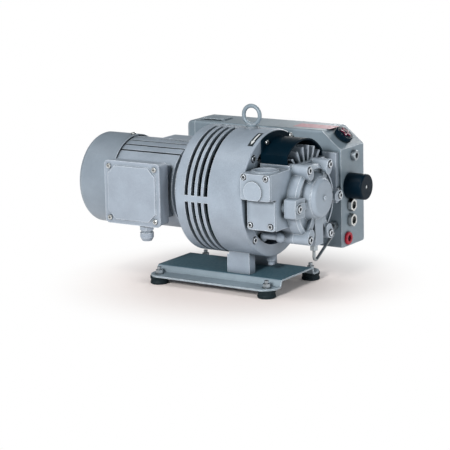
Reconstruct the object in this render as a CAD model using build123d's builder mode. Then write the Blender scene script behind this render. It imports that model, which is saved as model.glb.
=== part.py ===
from build123d import *
import math
import os

# Oil-flooded rotary vane vacuum pump. All sizes in mm.
# Origin on the floor between the four feet, +X along the shaft towards the pump head,
# +Y towards the oil separator, +Z up.

# Shaft line and vane cell
SHAFT_Z = 180
ECCENTRICITY = 9
BORE_Z = SHAFT_Z - ECCENTRICITY
BORE_R = 56
ROTOR_R = BORE_R - ECCENTRICITY - 0.1
CELL_START = 62
CELL_END = 157
END_GAP = 0.05
VANE_COUNT = 4
VANE_THICKNESS = 5
VANE_HEIGHT = 27
SLOT_FLOOR_R = 19
FIT = 0.05

# Fan housing
HOUSING_BACK = -53
HOUSING_FRONT = 93.5
HOUSING_R = 120
HOUSING_WALL = 6
FRONT_WALL = 5.5
FRONT_OPENING_R = 97
AIR_SLOTS = [(-31.6, -24), (-17.2, -9.6), (-3.6, 4.8), (10.4, 19.4)]
FRAME_BOLT_R = 107.5
EYEBOLT_X = 44
DRAIN_BOSS_X = 82
GUIDE_SCREWS = [(-34, 101), (51, 102)]
GUIDE_RIM_R = 117.5

# Head cover
COVER_FRONT = 190
COVER_FACE = 181
HUB_R = 37
COVER_RIM_R = 70
LUG_WIDTH = 20
BOLT_SINK_R = 7.8
BOLT_SINK = 6
COVER_BOLT_R = 75
COVER_BOLTS = 6

# Bearings: 25 x 52 x 15 deep-groove
BEARING_BORE_R = 12.5
BEARING_OUTER_R = 26
BEARING_WIDTH = 15
BALL_R = 3.97
BALL_PITCH_R = 19.25
BALL_COUNT = 9
BEARING_STARTS = [-240, -75, 45, 165]

# Motor
MOTOR_FLANGE_BACK = -75
FRAME_BACK = -222
FRAME_R = 75
FIN_TIP_R = 84.5
FRAME_BORE_R = 70
RIB_PITCH = 10.9
RIB_GAPS = 12
MOTOR_FLANGE_R = 100
MOTOR_BOLT_R = 82.5
SPIGOT_R = 65
COWL_BACK = -307
COWL_R = 88.5
COWL_SCREW_X = -229
COWL_SCREW_ANGLES = (0, 90, 180, 270)

# Base plate and feet
SHEET = 3
FLANGE_TOP = 18
WEB_TOP = 30
WEB_HALF = 56
BASE_HALF_X = 139
BASE_HALF_Y = 100
FOOT_X = 120
FOOT_Y = 81
FOOT_R = 17.5
FOOT_HEIGHT = FLANGE_TOP - SHEET

# Terminal box
BOX_X = -144
BOX_Z = 180
BOX_LENGTH = 122
BOX_HEIGHT = 117
BOX_BACK_Y = -98
BOX_LID_Y = -126
GLAND_X = -125
GLAND_Y = -111

# Inlet
PORT_X = 126
PORT_Y = -88
PORT_R = 20
PORT_TOP = 241
OUTLET_X = 116
REED_PITCH = 11
UPPER_FACE_Y = -119
LOWER_FACE_Y = -104
SEAT_Z = PORT_TOP - 26
CHAMBER_FLOOR = PORT_TOP - 48
PASSAGE_Z = PORT_TOP - 36
UPPER_SCREWS = [(102, 231.5), (148.5, 231.5)]
LOWER_SCREWS = [(105, 140.5), (148, 140.5)]
COVER_SINK_R = 6.2
COVER_SINK = 2.5

# Oil separator
SEP_BACK = -167
SEP_CAP_BACK = -191
SEP_FRONT = 165
SEP_NEAR_Y = 123
SEP_FAR_Y = 212
SEP_BOTTOM = 56
SEP_TOP = 282
SEP_WALL = 6
CHAMFER_X = 123
CHAMFER_Z = 247.5
EXHAUST_X = -138
EXHAUST_Y = 160
REED_TOP = 219
CAP_HEIGHT = 10
FLOAT_HINGE_X = 128
FLOAT_HINGE_Z = 122

# Fittings on the separator's end face, as (y, z)
TOP_PLUG = (171, 230)
FILTER_NIPPLE = (156, 173.5)
SIGHT_GLASSES = [(158, 135.5), (158, 106)]
DRAIN = (147, 72)
DRAIN_HEAD = 4.5
GLASS_HEAD = 8.5

# Oil return pipe
PIPE_X = 175
PIPE_R = 2.9
RETURN_X = 150
RETURN_Z = 100

# Hole sizes
M8_HOLE_R = 4.05
M6_HOLE_R = 3.05
M5_HOLE_R = 2.55
M5_CLEAR_R = 2.8
M10_HOLE_R = 5.05
M20_HOLE_R = 10.05

os.makedirs("parts", exist_ok=True)


def facing_x(x, y, z):
    """Plane looking along +X, local x = world Y, local y = world Z."""
    return Plane(origin=(x, y, z), x_dir=(0, 1, 0), z_dir=(1, 0, 0))


def facing_front(x, y, z):
    """Plane looking along -Y, local x = world X, local y = world Z."""
    return Plane(origin=(x, y, z), x_dir=(1, 0, 0), z_dir=(0, -1, 0))


def facing_back(x, y, z):
    """Plane looking along -X, towards the motor's rear end."""
    return Plane(origin=(x, y, z), x_dir=(0, 1, 0), z_dir=(-1, 0, 0))


def shaft_plane(x):
    return facing_x(x, 0, SHAFT_Z)


def bore_plane(x):
    return facing_x(x, 0, BORE_Z)


def radial_plane(x, angle, distance):
    """Plane facing outwards from the shaft at an angle from +Y, at a distance from the axis."""
    outwards = Vector(0, math.cos(math.radians(angle)), math.sin(math.radians(angle)))
    return Plane(origin=Vector(x, 0, SHAFT_Z) + outwards * distance, x_dir=(1, 0, 0), z_dir=outwards)


def socket_screw(size, length, head):
    """Socket-head screw along Z: head above 0, shank below 0."""
    with BuildPart() as screw:
        Cylinder(size * 0.8, head, align=(Align.CENTER, Align.CENTER, Align.MIN))
        chamfer(screw.faces().sort_by(Axis.Z)[-1].edges(), size * 0.08)
        Cylinder(size / 2, length, align=(Align.CENTER, Align.CENTER, Align.MAX))
        with BuildSketch(Plane.XY.offset(head)):
            RegularPolygon(size * 0.4, 6, major_radius=False)
        extrude(amount=-head * 0.6, mode=Mode.SUBTRACT)
    return screw.part


def pan_screw(size, length):
    """Low round-head screw along Z with a cross recess."""
    with BuildPart() as screw:
        Cylinder(size, size * 0.6, align=(Align.CENTER, Align.CENTER, Align.MIN))
        fillet(screw.faces().sort_by(Axis.Z)[-1].edges(), size * 0.3)
        Cylinder(size / 2, length, align=(Align.CENTER, Align.CENTER, Align.MAX))
        with BuildSketch(Plane.XY.offset(size * 0.6)):
            Rectangle(size * 1.1, size * 0.22)
            Rectangle(size * 0.22, size * 1.1)
        extrude(amount=-size * 0.35, mode=Mode.SUBTRACT)
    return screw.part


def hex_prism(across_flats, height):
    with BuildPart() as prism:
        with BuildSketch():
            RegularPolygon(across_flats / 2, 6, major_radius=False)
        extrude(amount=height)
    return prism.part


# ---- Base plate: folded sheet, raised web between two bolting flanges ----
with BuildPart() as base_plate:
    with BuildSketch(Plane.YZ.offset(-BASE_HALF_X)):
        with BuildLine():
            FilletPolyline(
                (-BASE_HALF_Y, FLANGE_TOP - SHEET / 2),
                (-WEB_HALF - 6, FLANGE_TOP - SHEET / 2),
                (-WEB_HALF, WEB_TOP - SHEET / 2),
                (WEB_HALF, WEB_TOP - SHEET / 2),
                (WEB_HALF + 6, FLANGE_TOP - SHEET / 2),
                (BASE_HALF_Y, FLANGE_TOP - SHEET / 2),
                radius=3.5,
            )
        trace(line_width=SHEET)
    extrude(amount=2 * BASE_HALF_X)
    fillet(base_plate.edges().filter_by(Axis.Z), 27)
    with Locations((0, 0, FLANGE_TOP)):
        with GridLocations(2 * FOOT_X, 2 * FOOT_Y, 2, 2):
            Hole(4.5)
base_plate.part.label = "base_plate"
export_step(base_plate.part, "parts/base_plate.step")

# ---- Rubber feet, their studs and nuts ----
with BuildPart() as rubber_feet:
    with BuildSketch(Plane.XZ):
        with BuildLine():
            Polyline((3.4, 0), (FOOT_R - 1, 0), (FOOT_R, 1), (FOOT_R, 4))
            ThreePointArc((FOOT_R, 4), (FOOT_R - 1.2, 7.5), (FOOT_R, 11))
            Polyline(
                (FOOT_R, 11),
                (FOOT_R, FOOT_HEIGHT),
                (M8_HOLE_R, FOOT_HEIGHT),
                (M8_HOLE_R, 8),
                (3.4, 8),
                (3.4, 0),
            )
        make_face()
    revolve(axis=Axis.Z)
foot_shape = rubber_feet.part
with BuildPart() as rubber_feet:
    with GridLocations(2 * FOOT_X, 2 * FOOT_Y, 2, 2):
        add(foot_shape)
rubber_feet.part.label = "rubber_feet"
export_step(rubber_feet.part, "parts/rubber_feet.step")

with BuildPart() as foot_studs:
    with GridLocations(2 * FOOT_X, 2 * FOOT_Y, 2, 2):
        with Locations((0, 0, 8)):
            Cylinder(4, 24, align=(Align.CENTER, Align.CENTER, Align.MIN))
foot_studs.part.label = "foot_studs"
export_step(foot_studs.part, "parts/foot_studs.step")

with BuildPart() as nut_shape:
    Cylinder(8, 1.6, align=(Align.CENTER, Align.CENTER, Align.MIN))
    add(hex_prism(13, 8))
    Hole(M8_HOLE_R)
with BuildPart(Plane.XY.offset(FLANGE_TOP)) as foot_nuts:
    with GridLocations(2 * FOOT_X, 2 * FOOT_Y, 2, 2):
        add(nut_shape.part)
foot_nuts.part.label = "foot_nuts"
export_step(foot_nuts.part, "parts/foot_nuts.step")

# ---- Fan housing: ribbed ring between motor and pump ----
with BuildPart() as slot_rings:
    for start, end in AIR_SLOTS:
        with BuildSketch(shaft_plane(start)):
            Circle(HOUSING_R + 5)
            Circle(HOUSING_R - HOUSING_WALL - 4, mode=Mode.SUBTRACT)
            Rectangle(12, 3 * HOUSING_R, mode=Mode.SUBTRACT)
            Rectangle(3 * HOUSING_R, 12, mode=Mode.SUBTRACT)
        extrude(amount=end - start)

with BuildPart() as fan_housing:
    with BuildSketch(shaft_plane(HOUSING_BACK)):
        Circle(HOUSING_R)
    extrude(amount=HOUSING_FRONT - HOUSING_BACK)
    fillet(fan_housing.edges().filter_by(GeomType.CIRCLE).sort_by(Axis.X)[0], 3)
    fillet(fan_housing.edges().filter_by(GeomType.CIRCLE).sort_by(Axis.X)[-1], 3)
    with Locations((39.5, 0, WEB_TOP)):
        with GridLocations(0, 80, 1, 2):
            Box(49, 20, 80, align=(Align.CENTER, Align.CENTER, Align.MIN))
    # drain boss under the ring
    with Locations((DRAIN_BOSS_X, 0, 42)):
        Cylinder(6.3, 24, align=(Align.CENTER, Align.CENTER, Align.MIN))
    with Locations((DRAIN_BOSS_X, 0, 50)):
        Cylinder(9, 16, align=(Align.CENTER, Align.CENTER, Align.MIN))
    # eyebolt boss on top
    with Locations((EYEBOLT_X, 0, SHAFT_Z + HOUSING_R - 14)):
        Cylinder(13, 16, align=(Align.CENTER, Align.CENTER, Align.MIN))
    # hollow inside
    with BuildSketch(shaft_plane(HOUSING_BACK + 8)):
        Circle(HOUSING_R - HOUSING_WALL)
    extrude(amount=HOUSING_FRONT - FRONT_WALL - HOUSING_BACK - 8, mode=Mode.SUBTRACT)
    # lifting boss kept inside the wall for the eyebolt thread
    with Locations((EYEBOLT_X, 0, SHAFT_Z + HOUSING_R - 20)):
        Cylinder(11, 18, align=(Align.CENTER, Align.CENTER, Align.MIN))
    with BuildSketch(shaft_plane(HOUSING_FRONT)):
        Circle(FRONT_OPENING_R)
    extrude(amount=-FRONT_WALL, mode=Mode.SUBTRACT)
    with BuildSketch(shaft_plane(HOUSING_BACK)):
        Circle(SPIGOT_R + 0.1)
    extrude(amount=8, mode=Mode.SUBTRACT)
    with BuildSketch(shaft_plane(HOUSING_BACK)):
        with PolarLocations(MOTOR_BOLT_R, 4, start_angle=45):
            Circle(M8_HOLE_R)
    extrude(amount=8, mode=Mode.SUBTRACT)
    with BuildSketch(shaft_plane(HOUSING_FRONT)):
        with PolarLocations(FRAME_BOLT_R, 4, start_angle=45):
            Circle(M8_HOLE_R)
    extrude(amount=-FRONT_WALL, mode=Mode.SUBTRACT)
    with BuildSketch(shaft_plane(HOUSING_FRONT)):
        with PolarLocations(FRAME_BOLT_R, 4, start_angle=45):
            Circle(BOLT_SINK_R)
    extrude(amount=-3, mode=Mode.SUBTRACT)
    with Locations((EYEBOLT_X, 0, SHAFT_Z + HOUSING_R + 10)):
        Hole(M8_HOLE_R, 26)
    # tapped holes for the air guide screws
    with BuildSketch(shaft_plane(HOUSING_FRONT)):
        with Locations(GUIDE_SCREWS):
            Circle(M5_HOLE_R)
    extrude(amount=-FRONT_WALL, mode=Mode.SUBTRACT)
    add(slot_rings.part, mode=Mode.SUBTRACT)
fan_housing.part.label = "fan_housing"
export_step(fan_housing.part, "parts/fan_housing.step")

with BuildPart(shaft_plane(HOUSING_FRONT - 3)) as housing_bolts:
    with PolarLocations(FRAME_BOLT_R, 4, start_angle=45):
        add(socket_screw(8, 13, 5))
housing_bolts.part.label = "housing_bolts"
export_step(housing_bolts.part, "parts/housing_bolts.step")

# ---- Lifting eyebolt ----
with BuildPart() as eyebolt:
    with Locations((EYEBOLT_X, 0, SHAFT_Z + HOUSING_R + 2)):
        Cylinder(10, 6, align=(Align.CENTER, Align.CENTER, Align.MIN))
        Cylinder(4, 16, align=(Align.CENTER, Align.CENTER, Align.MAX))
    with Locations(Plane(origin=(EYEBOLT_X, 0, 324), x_dir=(1, 0, 0), z_dir=(0, 1, 0))):
        Torus(17.5, 3.8)
eyebolt.part.label = "eyebolt"
export_step(eyebolt.part, "parts/eyebolt.step")

# ---- Motor drive-end flange ----
with BuildPart() as motor_flange:
    with BuildSketch(shaft_plane(MOTOR_FLANGE_BACK)):
        Circle(76)
    extrude(amount=10)
    with BuildSketch(shaft_plane(MOTOR_FLANGE_BACK + 9)):
        Circle(MOTOR_FLANGE_R)
    extrude(amount=13)
    with BuildSketch(shaft_plane(HOUSING_BACK)):
        Circle(SPIGOT_R)
    extrude(amount=4)
    with BuildSketch(shaft_plane(HOUSING_BACK + 4)):
        Circle(SPIGOT_R - 5)
    extrude(amount=-6, mode=Mode.SUBTRACT)
    with BuildSketch(shaft_plane(MOTOR_FLANGE_BACK)):
        Circle(BEARING_OUTER_R + FIT)
    extrude(amount=BEARING_WIDTH, mode=Mode.SUBTRACT)
    with BuildSketch(shaft_plane(MOTOR_FLANGE_BACK)):
        Circle(14)
        with PolarLocations(MOTOR_BOLT_R, 4, start_angle=45):
            Circle(M8_HOLE_R)
    extrude(amount=30, mode=Mode.SUBTRACT)
motor_flange.part.label = "motor_flange"
export_step(motor_flange.part, "parts/motor_flange.step")

with BuildPart(facing_back(MOTOR_FLANGE_BACK + 9, 0, SHAFT_Z)) as motor_flange_bolts:
    with PolarLocations(MOTOR_BOLT_R, 4, start_angle=45):
        add(socket_screw(8, 20, 8))
motor_flange_bolts.part.label = "motor_flange_bolts"
export_step(motor_flange_bolts.part, "parts/motor_flange_bolts.step")

# ---- Motor frame: tube with cooling fins and a saddle for the terminal box ----
with BuildPart() as motor_frame:
    with BuildSketch(shaft_plane(FRAME_BACK)):
        Circle(FRAME_R)
    extrude(amount=MOTOR_FLANGE_BACK - FRAME_BACK)
    # broad ribs over the top and far side, closed skin underneath and behind the terminal box
    with BuildSketch(shaft_plane(FRAME_BACK)):
        Circle(FIN_TIP_R)
        with PolarLocations(FIN_TIP_R - 3, RIB_GAPS, start_angle=8, angular_range=RIB_GAPS * RIB_PITCH):
            SlotOverall(15, 3.6, mode=Mode.SUBTRACT)
    extrude(amount=MOTOR_FLANGE_BACK - FRAME_BACK - 9)
    with BuildSketch(Plane.XY.offset(SHAFT_Z + FIN_TIP_R - 3)):
        with Locations((-128, 22)):
            RectangleRounded(66, 44, 3)
    extrude(amount=4.5)
    with Locations((BOX_X, BOX_BACK_Y, BOX_Z)):
        Box(104, 50, 98, align=(Align.CENTER, Align.MIN, Align.CENTER))
    with BuildSketch(shaft_plane(FRAME_BACK)):
        Circle(FRAME_BORE_R)
    extrude(amount=MOTOR_FLANGE_BACK - FRAME_BACK, mode=Mode.SUBTRACT)
    with Locations((BOX_X, BOX_BACK_Y, BOX_Z)):
        Box(40, 40, 30, align=(Align.CENTER, Align.MIN, Align.CENTER), mode=Mode.SUBTRACT)
motor_frame.part.label = "motor_frame"
export_step(motor_frame.part, "parts/motor_frame.step")

# ---- Stator ----
with BuildPart() as stator_core:
    with BuildSketch(shaft_plane(-195)):
        Circle(FRAME_BORE_R - FIT)
        Circle(42, mode=Mode.SUBTRACT)
        with PolarLocations(52, 24):
            SlotOverall(14, 4, mode=Mode.SUBTRACT)
    extrude(amount=80)
stator_core.part.label = "stator_core"
export_step(stator_core.part, "parts/stator_core.step")

with BuildPart() as stator_windings:
    for start in (-213, -115):
        with BuildSketch(shaft_plane(start)):
            Circle(66)
            Circle(46, mode=Mode.SUBTRACT)
        extrude(amount=18)
    fillet(stator_windings.edges().filter_by(GeomType.CIRCLE), 4)
stator_windings.part.label = "stator_windings"
export_step(stator_windings.part, "parts/stator_windings.step")

# ---- Motor rear shield, cowl and its screws ----
with BuildPart() as motor_rear_shield:
    with BuildSketch(shaft_plane(-236)):
        Circle(79)
        with PolarLocations(80, 4):
            RectangleRounded(13, 16, 3)
    extrude(amount=14)
    with BuildSketch(shaft_plane(-242)):
        Circle(32)
    extrude(amount=8)
    with BuildSketch(shaft_plane(-240)):
        Circle(BEARING_OUTER_R + FIT)
    extrude(amount=BEARING_WIDTH, mode=Mode.SUBTRACT)
    with BuildSketch(shaft_plane(-242)):
        Circle(14)
    extrude(amount=20, mode=Mode.SUBTRACT)
    for angle in COWL_SCREW_ANGLES:
        with BuildSketch(radial_plane(COWL_SCREW_X, angle, FRAME_BORE_R)):
            Circle(M5_HOLE_R)
        extrude(amount=20, mode=Mode.SUBTRACT)
motor_rear_shield.part.label = "motor_rear_shield"
export_step(motor_rear_shield.part, "parts/motor_rear_shield.step")

with BuildPart() as motor_cowl:
    with BuildSketch(Plane.XZ):
        with BuildLine():
            Polyline((FRAME_BACK, SHAFT_Z + COWL_R), (-293, SHAFT_Z + COWL_R))
            ThreePointArc((-293, SHAFT_Z + COWL_R), (-302, SHAFT_Z + COWL_R - 6), (-305, SHAFT_Z + 76))
            Polyline((-305, SHAFT_Z + 76), (COWL_BACK, SHAFT_Z))
            Polyline((COWL_BACK, SHAFT_Z), (COWL_BACK + 1.8, SHAFT_Z), (-303, SHAFT_Z + 75.5))
            ThreePointArc((-303, SHAFT_Z + 75.5), (-300.5, SHAFT_Z + 81), (-292, SHAFT_Z + COWL_R - 1.8))
            Polyline((-292, SHAFT_Z + COWL_R - 1.8), (FRAME_BACK, SHAFT_Z + COWL_R - 1.8))
            Polyline((FRAME_BACK, SHAFT_Z + COWL_R - 1.8), (FRAME_BACK, SHAFT_Z + COWL_R))
        make_face()
    revolve(axis=Axis((0, 0, SHAFT_Z), (1, 0, 0)))
    with BuildSketch(shaft_plane(COWL_BACK - 2)):
        for ring, count in ((22, 10), (34, 16), (46, 22), (58, 28), (69, 34)):
            with PolarLocations(ring, count):
                SlotOverall(7.5, 4.4, rotation=90)
    extrude(amount=9, mode=Mode.SUBTRACT)
    for angle in COWL_SCREW_ANGLES:
        with BuildSketch(radial_plane(COWL_SCREW_X, angle, 80)):
            Circle(M5_CLEAR_R)
        extrude(amount=12, mode=Mode.SUBTRACT)
motor_cowl.part.label = "motor_cowl"
export_step(motor_cowl.part, "parts/motor_cowl.step")

# ---- Terminal box, lid, screws and gland ----
with BuildPart() as terminal_box:
    with BuildSketch(facing_front(BOX_X, BOX_BACK_Y, BOX_Z)):
        RectangleRounded(BOX_LENGTH, BOX_HEIGHT, 7)
    extrude(amount=BOX_BACK_Y - BOX_LID_Y)
    with BuildSketch(facing_front(BOX_X, BOX_BACK_Y - 3, BOX_Z)):
        RectangleRounded(BOX_LENGTH - 8, BOX_HEIGHT - 8, 4)
        with GridLocations(BOX_LENGTH - 14, BOX_HEIGHT - 14, 2, 2):
            Circle(7, mode=Mode.SUBTRACT)
    extrude(amount=BOX_BACK_Y - BOX_LID_Y, mode=Mode.SUBTRACT)
    with BuildSketch(facing_front(BOX_X, BOX_BACK_Y, BOX_Z)):
        Rectangle(40, 30)
    extrude(amount=4, mode=Mode.SUBTRACT)
    with BuildSketch(facing_front(BOX_X, BOX_LID_Y, BOX_Z)):
        with GridLocations(BOX_LENGTH - 18, BOX_HEIGHT - 18, 2, 2):
            Circle(M5_HOLE_R)
    extrude(amount=-12, mode=Mode.SUBTRACT)
    with Locations((GLAND_X, GLAND_Y, BOX_Z - BOX_HEIGHT / 2)):
        Hole(M20_HOLE_R, 12)
terminal_box.part.label = "terminal_box"
export_step(terminal_box.part, "parts/terminal_box.step")

with BuildPart() as terminal_lid:
    with BuildSketch(facing_front(BOX_X, BOX_LID_Y, BOX_Z)):
        RectangleRounded(BOX_LENGTH + 4, BOX_HEIGHT + 4, 9)
    extrude(amount=3)
    with BuildSketch(facing_front(BOX_X, BOX_LID_Y - 3, BOX_Z)):
        Rectangle(BOX_LENGTH - 12, BOX_HEIGHT - 12)
        with GridLocations(BOX_LENGTH - 12, BOX_HEIGHT - 12, 2, 2):
            Rectangle(24, 24, rotation=45, mode=Mode.SUBTRACT)
    extrude(amount=3, taper=25)
    with BuildSketch(facing_front(BOX_X, BOX_LID_Y, BOX_Z)):
        with GridLocations(BOX_LENGTH - 18, BOX_HEIGHT - 18, 2, 2):
            Circle(M5_CLEAR_R)
    extrude(amount=6, mode=Mode.SUBTRACT)
terminal_lid.part.label = "terminal_lid"
export_step(terminal_lid.part, "parts/terminal_lid.step")

with BuildPart() as motor_screws:
    with Locations(facing_front(BOX_X, BOX_LID_Y - 3, BOX_Z)):
        with GridLocations(BOX_LENGTH - 18, BOX_HEIGHT - 18, 2, 2):
            add(pan_screw(5, 12))
    for angle in COWL_SCREW_ANGLES:
        with Locations(radial_plane(COWL_SCREW_X, angle, COWL_R + 0.1)):
            add(pan_screw(5, 12))
motor_screws.part.label = "motor_screws"
export_step(motor_screws.part, "parts/motor_screws.step")

with BuildPart() as terminal_block:
    with BuildSketch(facing_front(BOX_X, BOX_BACK_Y - 4, BOX_Z)):
        RectangleRounded(60, 36, 3)
    extrude(amount=8)
    with BuildSketch(facing_front(BOX_X, BOX_BACK_Y - 12, BOX_Z)):
        with GridLocations(18, 20, 3, 2):
            Circle(2.5)
    extrude(amount=9)
terminal_block.part.label = "terminal_block"
export_step(terminal_block.part, "parts/terminal_block.step")

with BuildPart() as cable_gland:
    with Locations((GLAND_X, GLAND_Y, BOX_Z - BOX_HEIGHT / 2)):
        Cylinder(10, 6, align=(Align.CENTER, Align.CENTER, Align.MIN))
        Cylinder(12, 5, align=(Align.CENTER, Align.CENTER, Align.MAX))
    with Locations((GLAND_X, GLAND_Y, BOX_Z - BOX_HEIGHT / 2 - 12)):
        add(hex_prism(25, 7))
    with Locations((GLAND_X, GLAND_Y, BOX_Z - BOX_HEIGHT / 2 - 17)):
        Cylinder(13, 9, align=(Align.CENTER, Align.CENTER, Align.MAX))
        Cylinder(11, 7, align=(Align.CENTER, Align.CENTER, Align.MIN))
    with Locations((GLAND_X, GLAND_Y, BOX_Z - BOX_HEIGHT / 2 - 26)):
        Cone(9, 13, 7, align=(Align.CENTER, Align.CENTER, Align.MAX))
    with Locations((GLAND_X, GLAND_Y, BOX_Z)):
        Hole(6.5, 120)
cable_gland.part.label = "cable_gland"
export_step(cable_gland.part, "parts/cable_gland.step")

# ---- Pump cylinder: vane cell, inlet block, outlet flange and cooling fins ----
FIN_FOCUS_Y = 20
FIN_FOCUS_Z = 190
FIN_TIP = 81
FIN_COUNT = 6
FIN_FIRST = 130
FIN_LAST = 54
DECK_TOP = 242
ARM_START = 76
ELBOW_X = 132
ELBOW_Y = -48
ELBOW_Z = 108
DUCT_R = 6
ARM_END = HOUSING_FRONT - FRONT_WALL

with BuildPart() as pump_cylinder:
    # barrel with the six bolt columns
    with BuildSketch(bore_plane(CELL_START)):
        Circle(69)
    extrude(amount=CELL_END - CELL_START)
    for start, length in ((CELL_START, 20), (CELL_END, -22)):
        with BuildSketch(bore_plane(start)):
            with PolarLocations(COVER_BOLT_R - 4, COVER_BOLTS):
                SlotOverall(LUG_WIDTH + 8, LUG_WIDTH)
        extrude(amount=length)
    # four arms reaching the fan housing's front wall
    with BuildSketch(shaft_plane(ARM_START)):
        with PolarLocations(80, 4, start_angle=45):
            Rectangle(68, 22)
        Circle(HOUSING_R - HOUSING_WALL - 0.2, mode=Mode.INTERSECT)
    extrude(amount=ARM_END - ARM_START)
    # inlet block, upper and lower half
    with Locations((95, UPPER_FACE_Y, 190)):
        Box(62, 80, 48, align=(Align.MIN, Align.MIN, Align.MIN))
    with Locations((98.5, LOWER_FACE_Y, 132)):
        Box(CELL_END - 98.5, 66, 59, align=(Align.MIN, Align.MIN, Align.MIN))
    # outlet block and its flange on the separator side
    with Locations((OUTLET_X, 40, 172)):
        Box(42, SEP_NEAR_Y - 44, 60, align=(Align.CENTER, Align.MIN, Align.MIN))
    with Locations((95, SEP_NEAR_Y - 11, 146)):
        Box(65, 11, 97, align=(Align.MIN, Align.MIN, Align.MIN))
    # deck and its fan of cooling fins
    with Locations((95, -52, 205)):
        Box(CELL_END - 95, 126, DECK_TOP - 205, align=(Align.MIN, Align.MIN, Align.MIN))
    with Locations((95, -55, 230)):
        Box(CELL_END - 95, 4, 15, align=(Align.MIN, Align.MIN, Align.MIN))
    for index in range(FIN_COUNT):
        angle = FIN_FIRST + (FIN_LAST - FIN_FIRST) * index / (FIN_COUNT - 1)
        with BuildSketch(facing_x(97, FIN_FOCUS_Y, FIN_FOCUS_Z)):
            with Locations(Rotation(0, 0, angle) * Location((FIN_TIP - 22, 0))):
                Rectangle(44, 4)
        extrude(amount=53)
    # suction port boss
    with Locations((PORT_X, PORT_Y, 230)):
        Cone(31, 25, PORT_TOP - 230, align=(Align.CENTER, Align.CENTER, Align.MIN))
    # vane cell bore
    with BuildSketch(bore_plane(CELL_START)):
        Circle(BORE_R)
    extrude(amount=CELL_END - CELL_START, mode=Mode.SUBTRACT)
    # bolt holes both ends
    for start, depth in ((CELL_START, 20), (CELL_END, -22)):
        with BuildSketch(bore_plane(start)):
            with PolarLocations(COVER_BOLT_R, COVER_BOLTS):
                Circle(M8_HOLE_R)
        extrude(amount=depth, mode=Mode.SUBTRACT)
    with BuildSketch(shaft_plane(ARM_END)):
        with PolarLocations(FRAME_BOLT_R, 4, start_angle=45):
            Circle(M8_HOLE_R)
    extrude(amount=-11.5, mode=Mode.SUBTRACT)
    # suction port thread, valve seat and chamber
    with BuildSketch(Plane.XY.offset(PORT_TOP)):
        with Locations((PORT_X, PORT_Y)):
            Circle(PORT_R)
    extrude(amount=-20, mode=Mode.SUBTRACT)
    with BuildSketch(Plane.XY.offset(PORT_TOP - 20)):
        with Locations((PORT_X, PORT_Y)):
            Circle(14)
    extrude(amount=-6, mode=Mode.SUBTRACT)
    with BuildSketch(Plane.XY.offset(SEAT_Z)):
        with Locations((PORT_X, PORT_Y)):
            Circle(21)
    extrude(amount=CHAMBER_FLOOR - SEAT_Z, mode=Mode.SUBTRACT)
    # passage from valve chamber to the cell
    with Locations((PORT_X, PORT_Y, PASSAGE_Z)):
        Box(36, 60, 18, align=(Align.CENTER, Align.MIN, Align.CENTER), mode=Mode.SUBTRACT)
    # service opening behind the upper cover
    with Locations((PORT_X, UPPER_FACE_Y, PASSAGE_Z)):
        Box(28, 20, 18, align=(Align.CENTER, Align.MIN, Align.CENTER), mode=Mode.SUBTRACT)
    # outlet passage, reed ports and reed pocket
    with Locations((OUTLET_X, 40, 201)):
        Box(32, 62, 20, align=(Align.CENTER, Align.MIN, Align.CENTER), mode=Mode.SUBTRACT)
    with BuildSketch(Plane.XZ.offset(-100)):
        with Locations((OUTLET_X, 201)):
            with GridLocations(REED_PITCH, 0, 3, 1):
                Circle(4)
    extrude(amount=-10, mode=Mode.SUBTRACT)
    with Locations((OUTLET_X, SEP_NEAR_Y - 15, 203)):
        Box(36, 15, 44, align=(Align.CENTER, Align.MIN, Align.CENTER), mode=Mode.SUBTRACT)
    # tapped hole for the plug in the flange's front edge
    with BuildSketch(facing_x(160, SEP_NEAR_Y - 5.5, 171)):
        Circle(M6_HOLE_R)
    extrude(amount=-12, mode=Mode.SUBTRACT)
    # screw holes for the two inlet covers
    with BuildSketch(facing_front(0, UPPER_FACE_Y, 0)):
        with Locations(UPPER_SCREWS):
            Circle(M6_HOLE_R)
    extrude(amount=-12, mode=Mode.SUBTRACT)
    with BuildSketch(facing_front(0, LOWER_FACE_Y, 0)):
        with Locations(LOWER_SCREWS):
            Circle(M6_HOLE_R)
    extrude(amount=-12, mode=Mode.SUBTRACT)
    # cast oil duct in the lower opening, with a rounded boss at its front end
    with Locations((ELBOW_X, ELBOW_Y, ELBOW_Z)):
        Sphere(10)
    with BuildLine() as duct_path:
        FilletPolyline(
            (ELBOW_X, ELBOW_Y, ELBOW_Z),
            (ELBOW_X - 34, ELBOW_Y - 6, ELBOW_Z + 1),
            (ELBOW_X - 40, ELBOW_Y + 6, ELBOW_Z - 8),
            (CELL_START + 16, ELBOW_Y + 12, ELBOW_Z - 5),
            radius=5,
        )
    with BuildSketch(Plane(origin=duct_path.line @ 0, z_dir=duct_path.line % 0)):
        Circle(DUCT_R)
    sweep()
pump_cylinder.part.label = "pump_cylinder"
export_step(pump_cylinder.part, "parts/pump_cylinder.step")

# ---- Rear side plate with the rear pump bearing ----
with BuildPart() as rear_plate:
    with BuildSketch(bore_plane(44)):
        Circle(69)
        with PolarLocations(COVER_BOLT_R, COVER_BOLTS):
            Circle(11.5)
    extrude(amount=CELL_START - 44)
    with BuildSketch(shaft_plane(45)):
        Circle(BEARING_OUTER_R + FIT)
    extrude(amount=BEARING_WIDTH, mode=Mode.SUBTRACT)
    with BuildSketch(shaft_plane(44)):
        Circle(14)
    extrude(amount=20, mode=Mode.SUBTRACT)
    with BuildSketch(bore_plane(44)):
        with PolarLocations(COVER_BOLT_R, COVER_BOLTS):
            Circle(M8_HOLE_R)
    extrude(amount=18, mode=Mode.SUBTRACT)
rear_plate.part.label = "rear_plate"
export_step(rear_plate.part, "parts/rear_plate.step")

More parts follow.
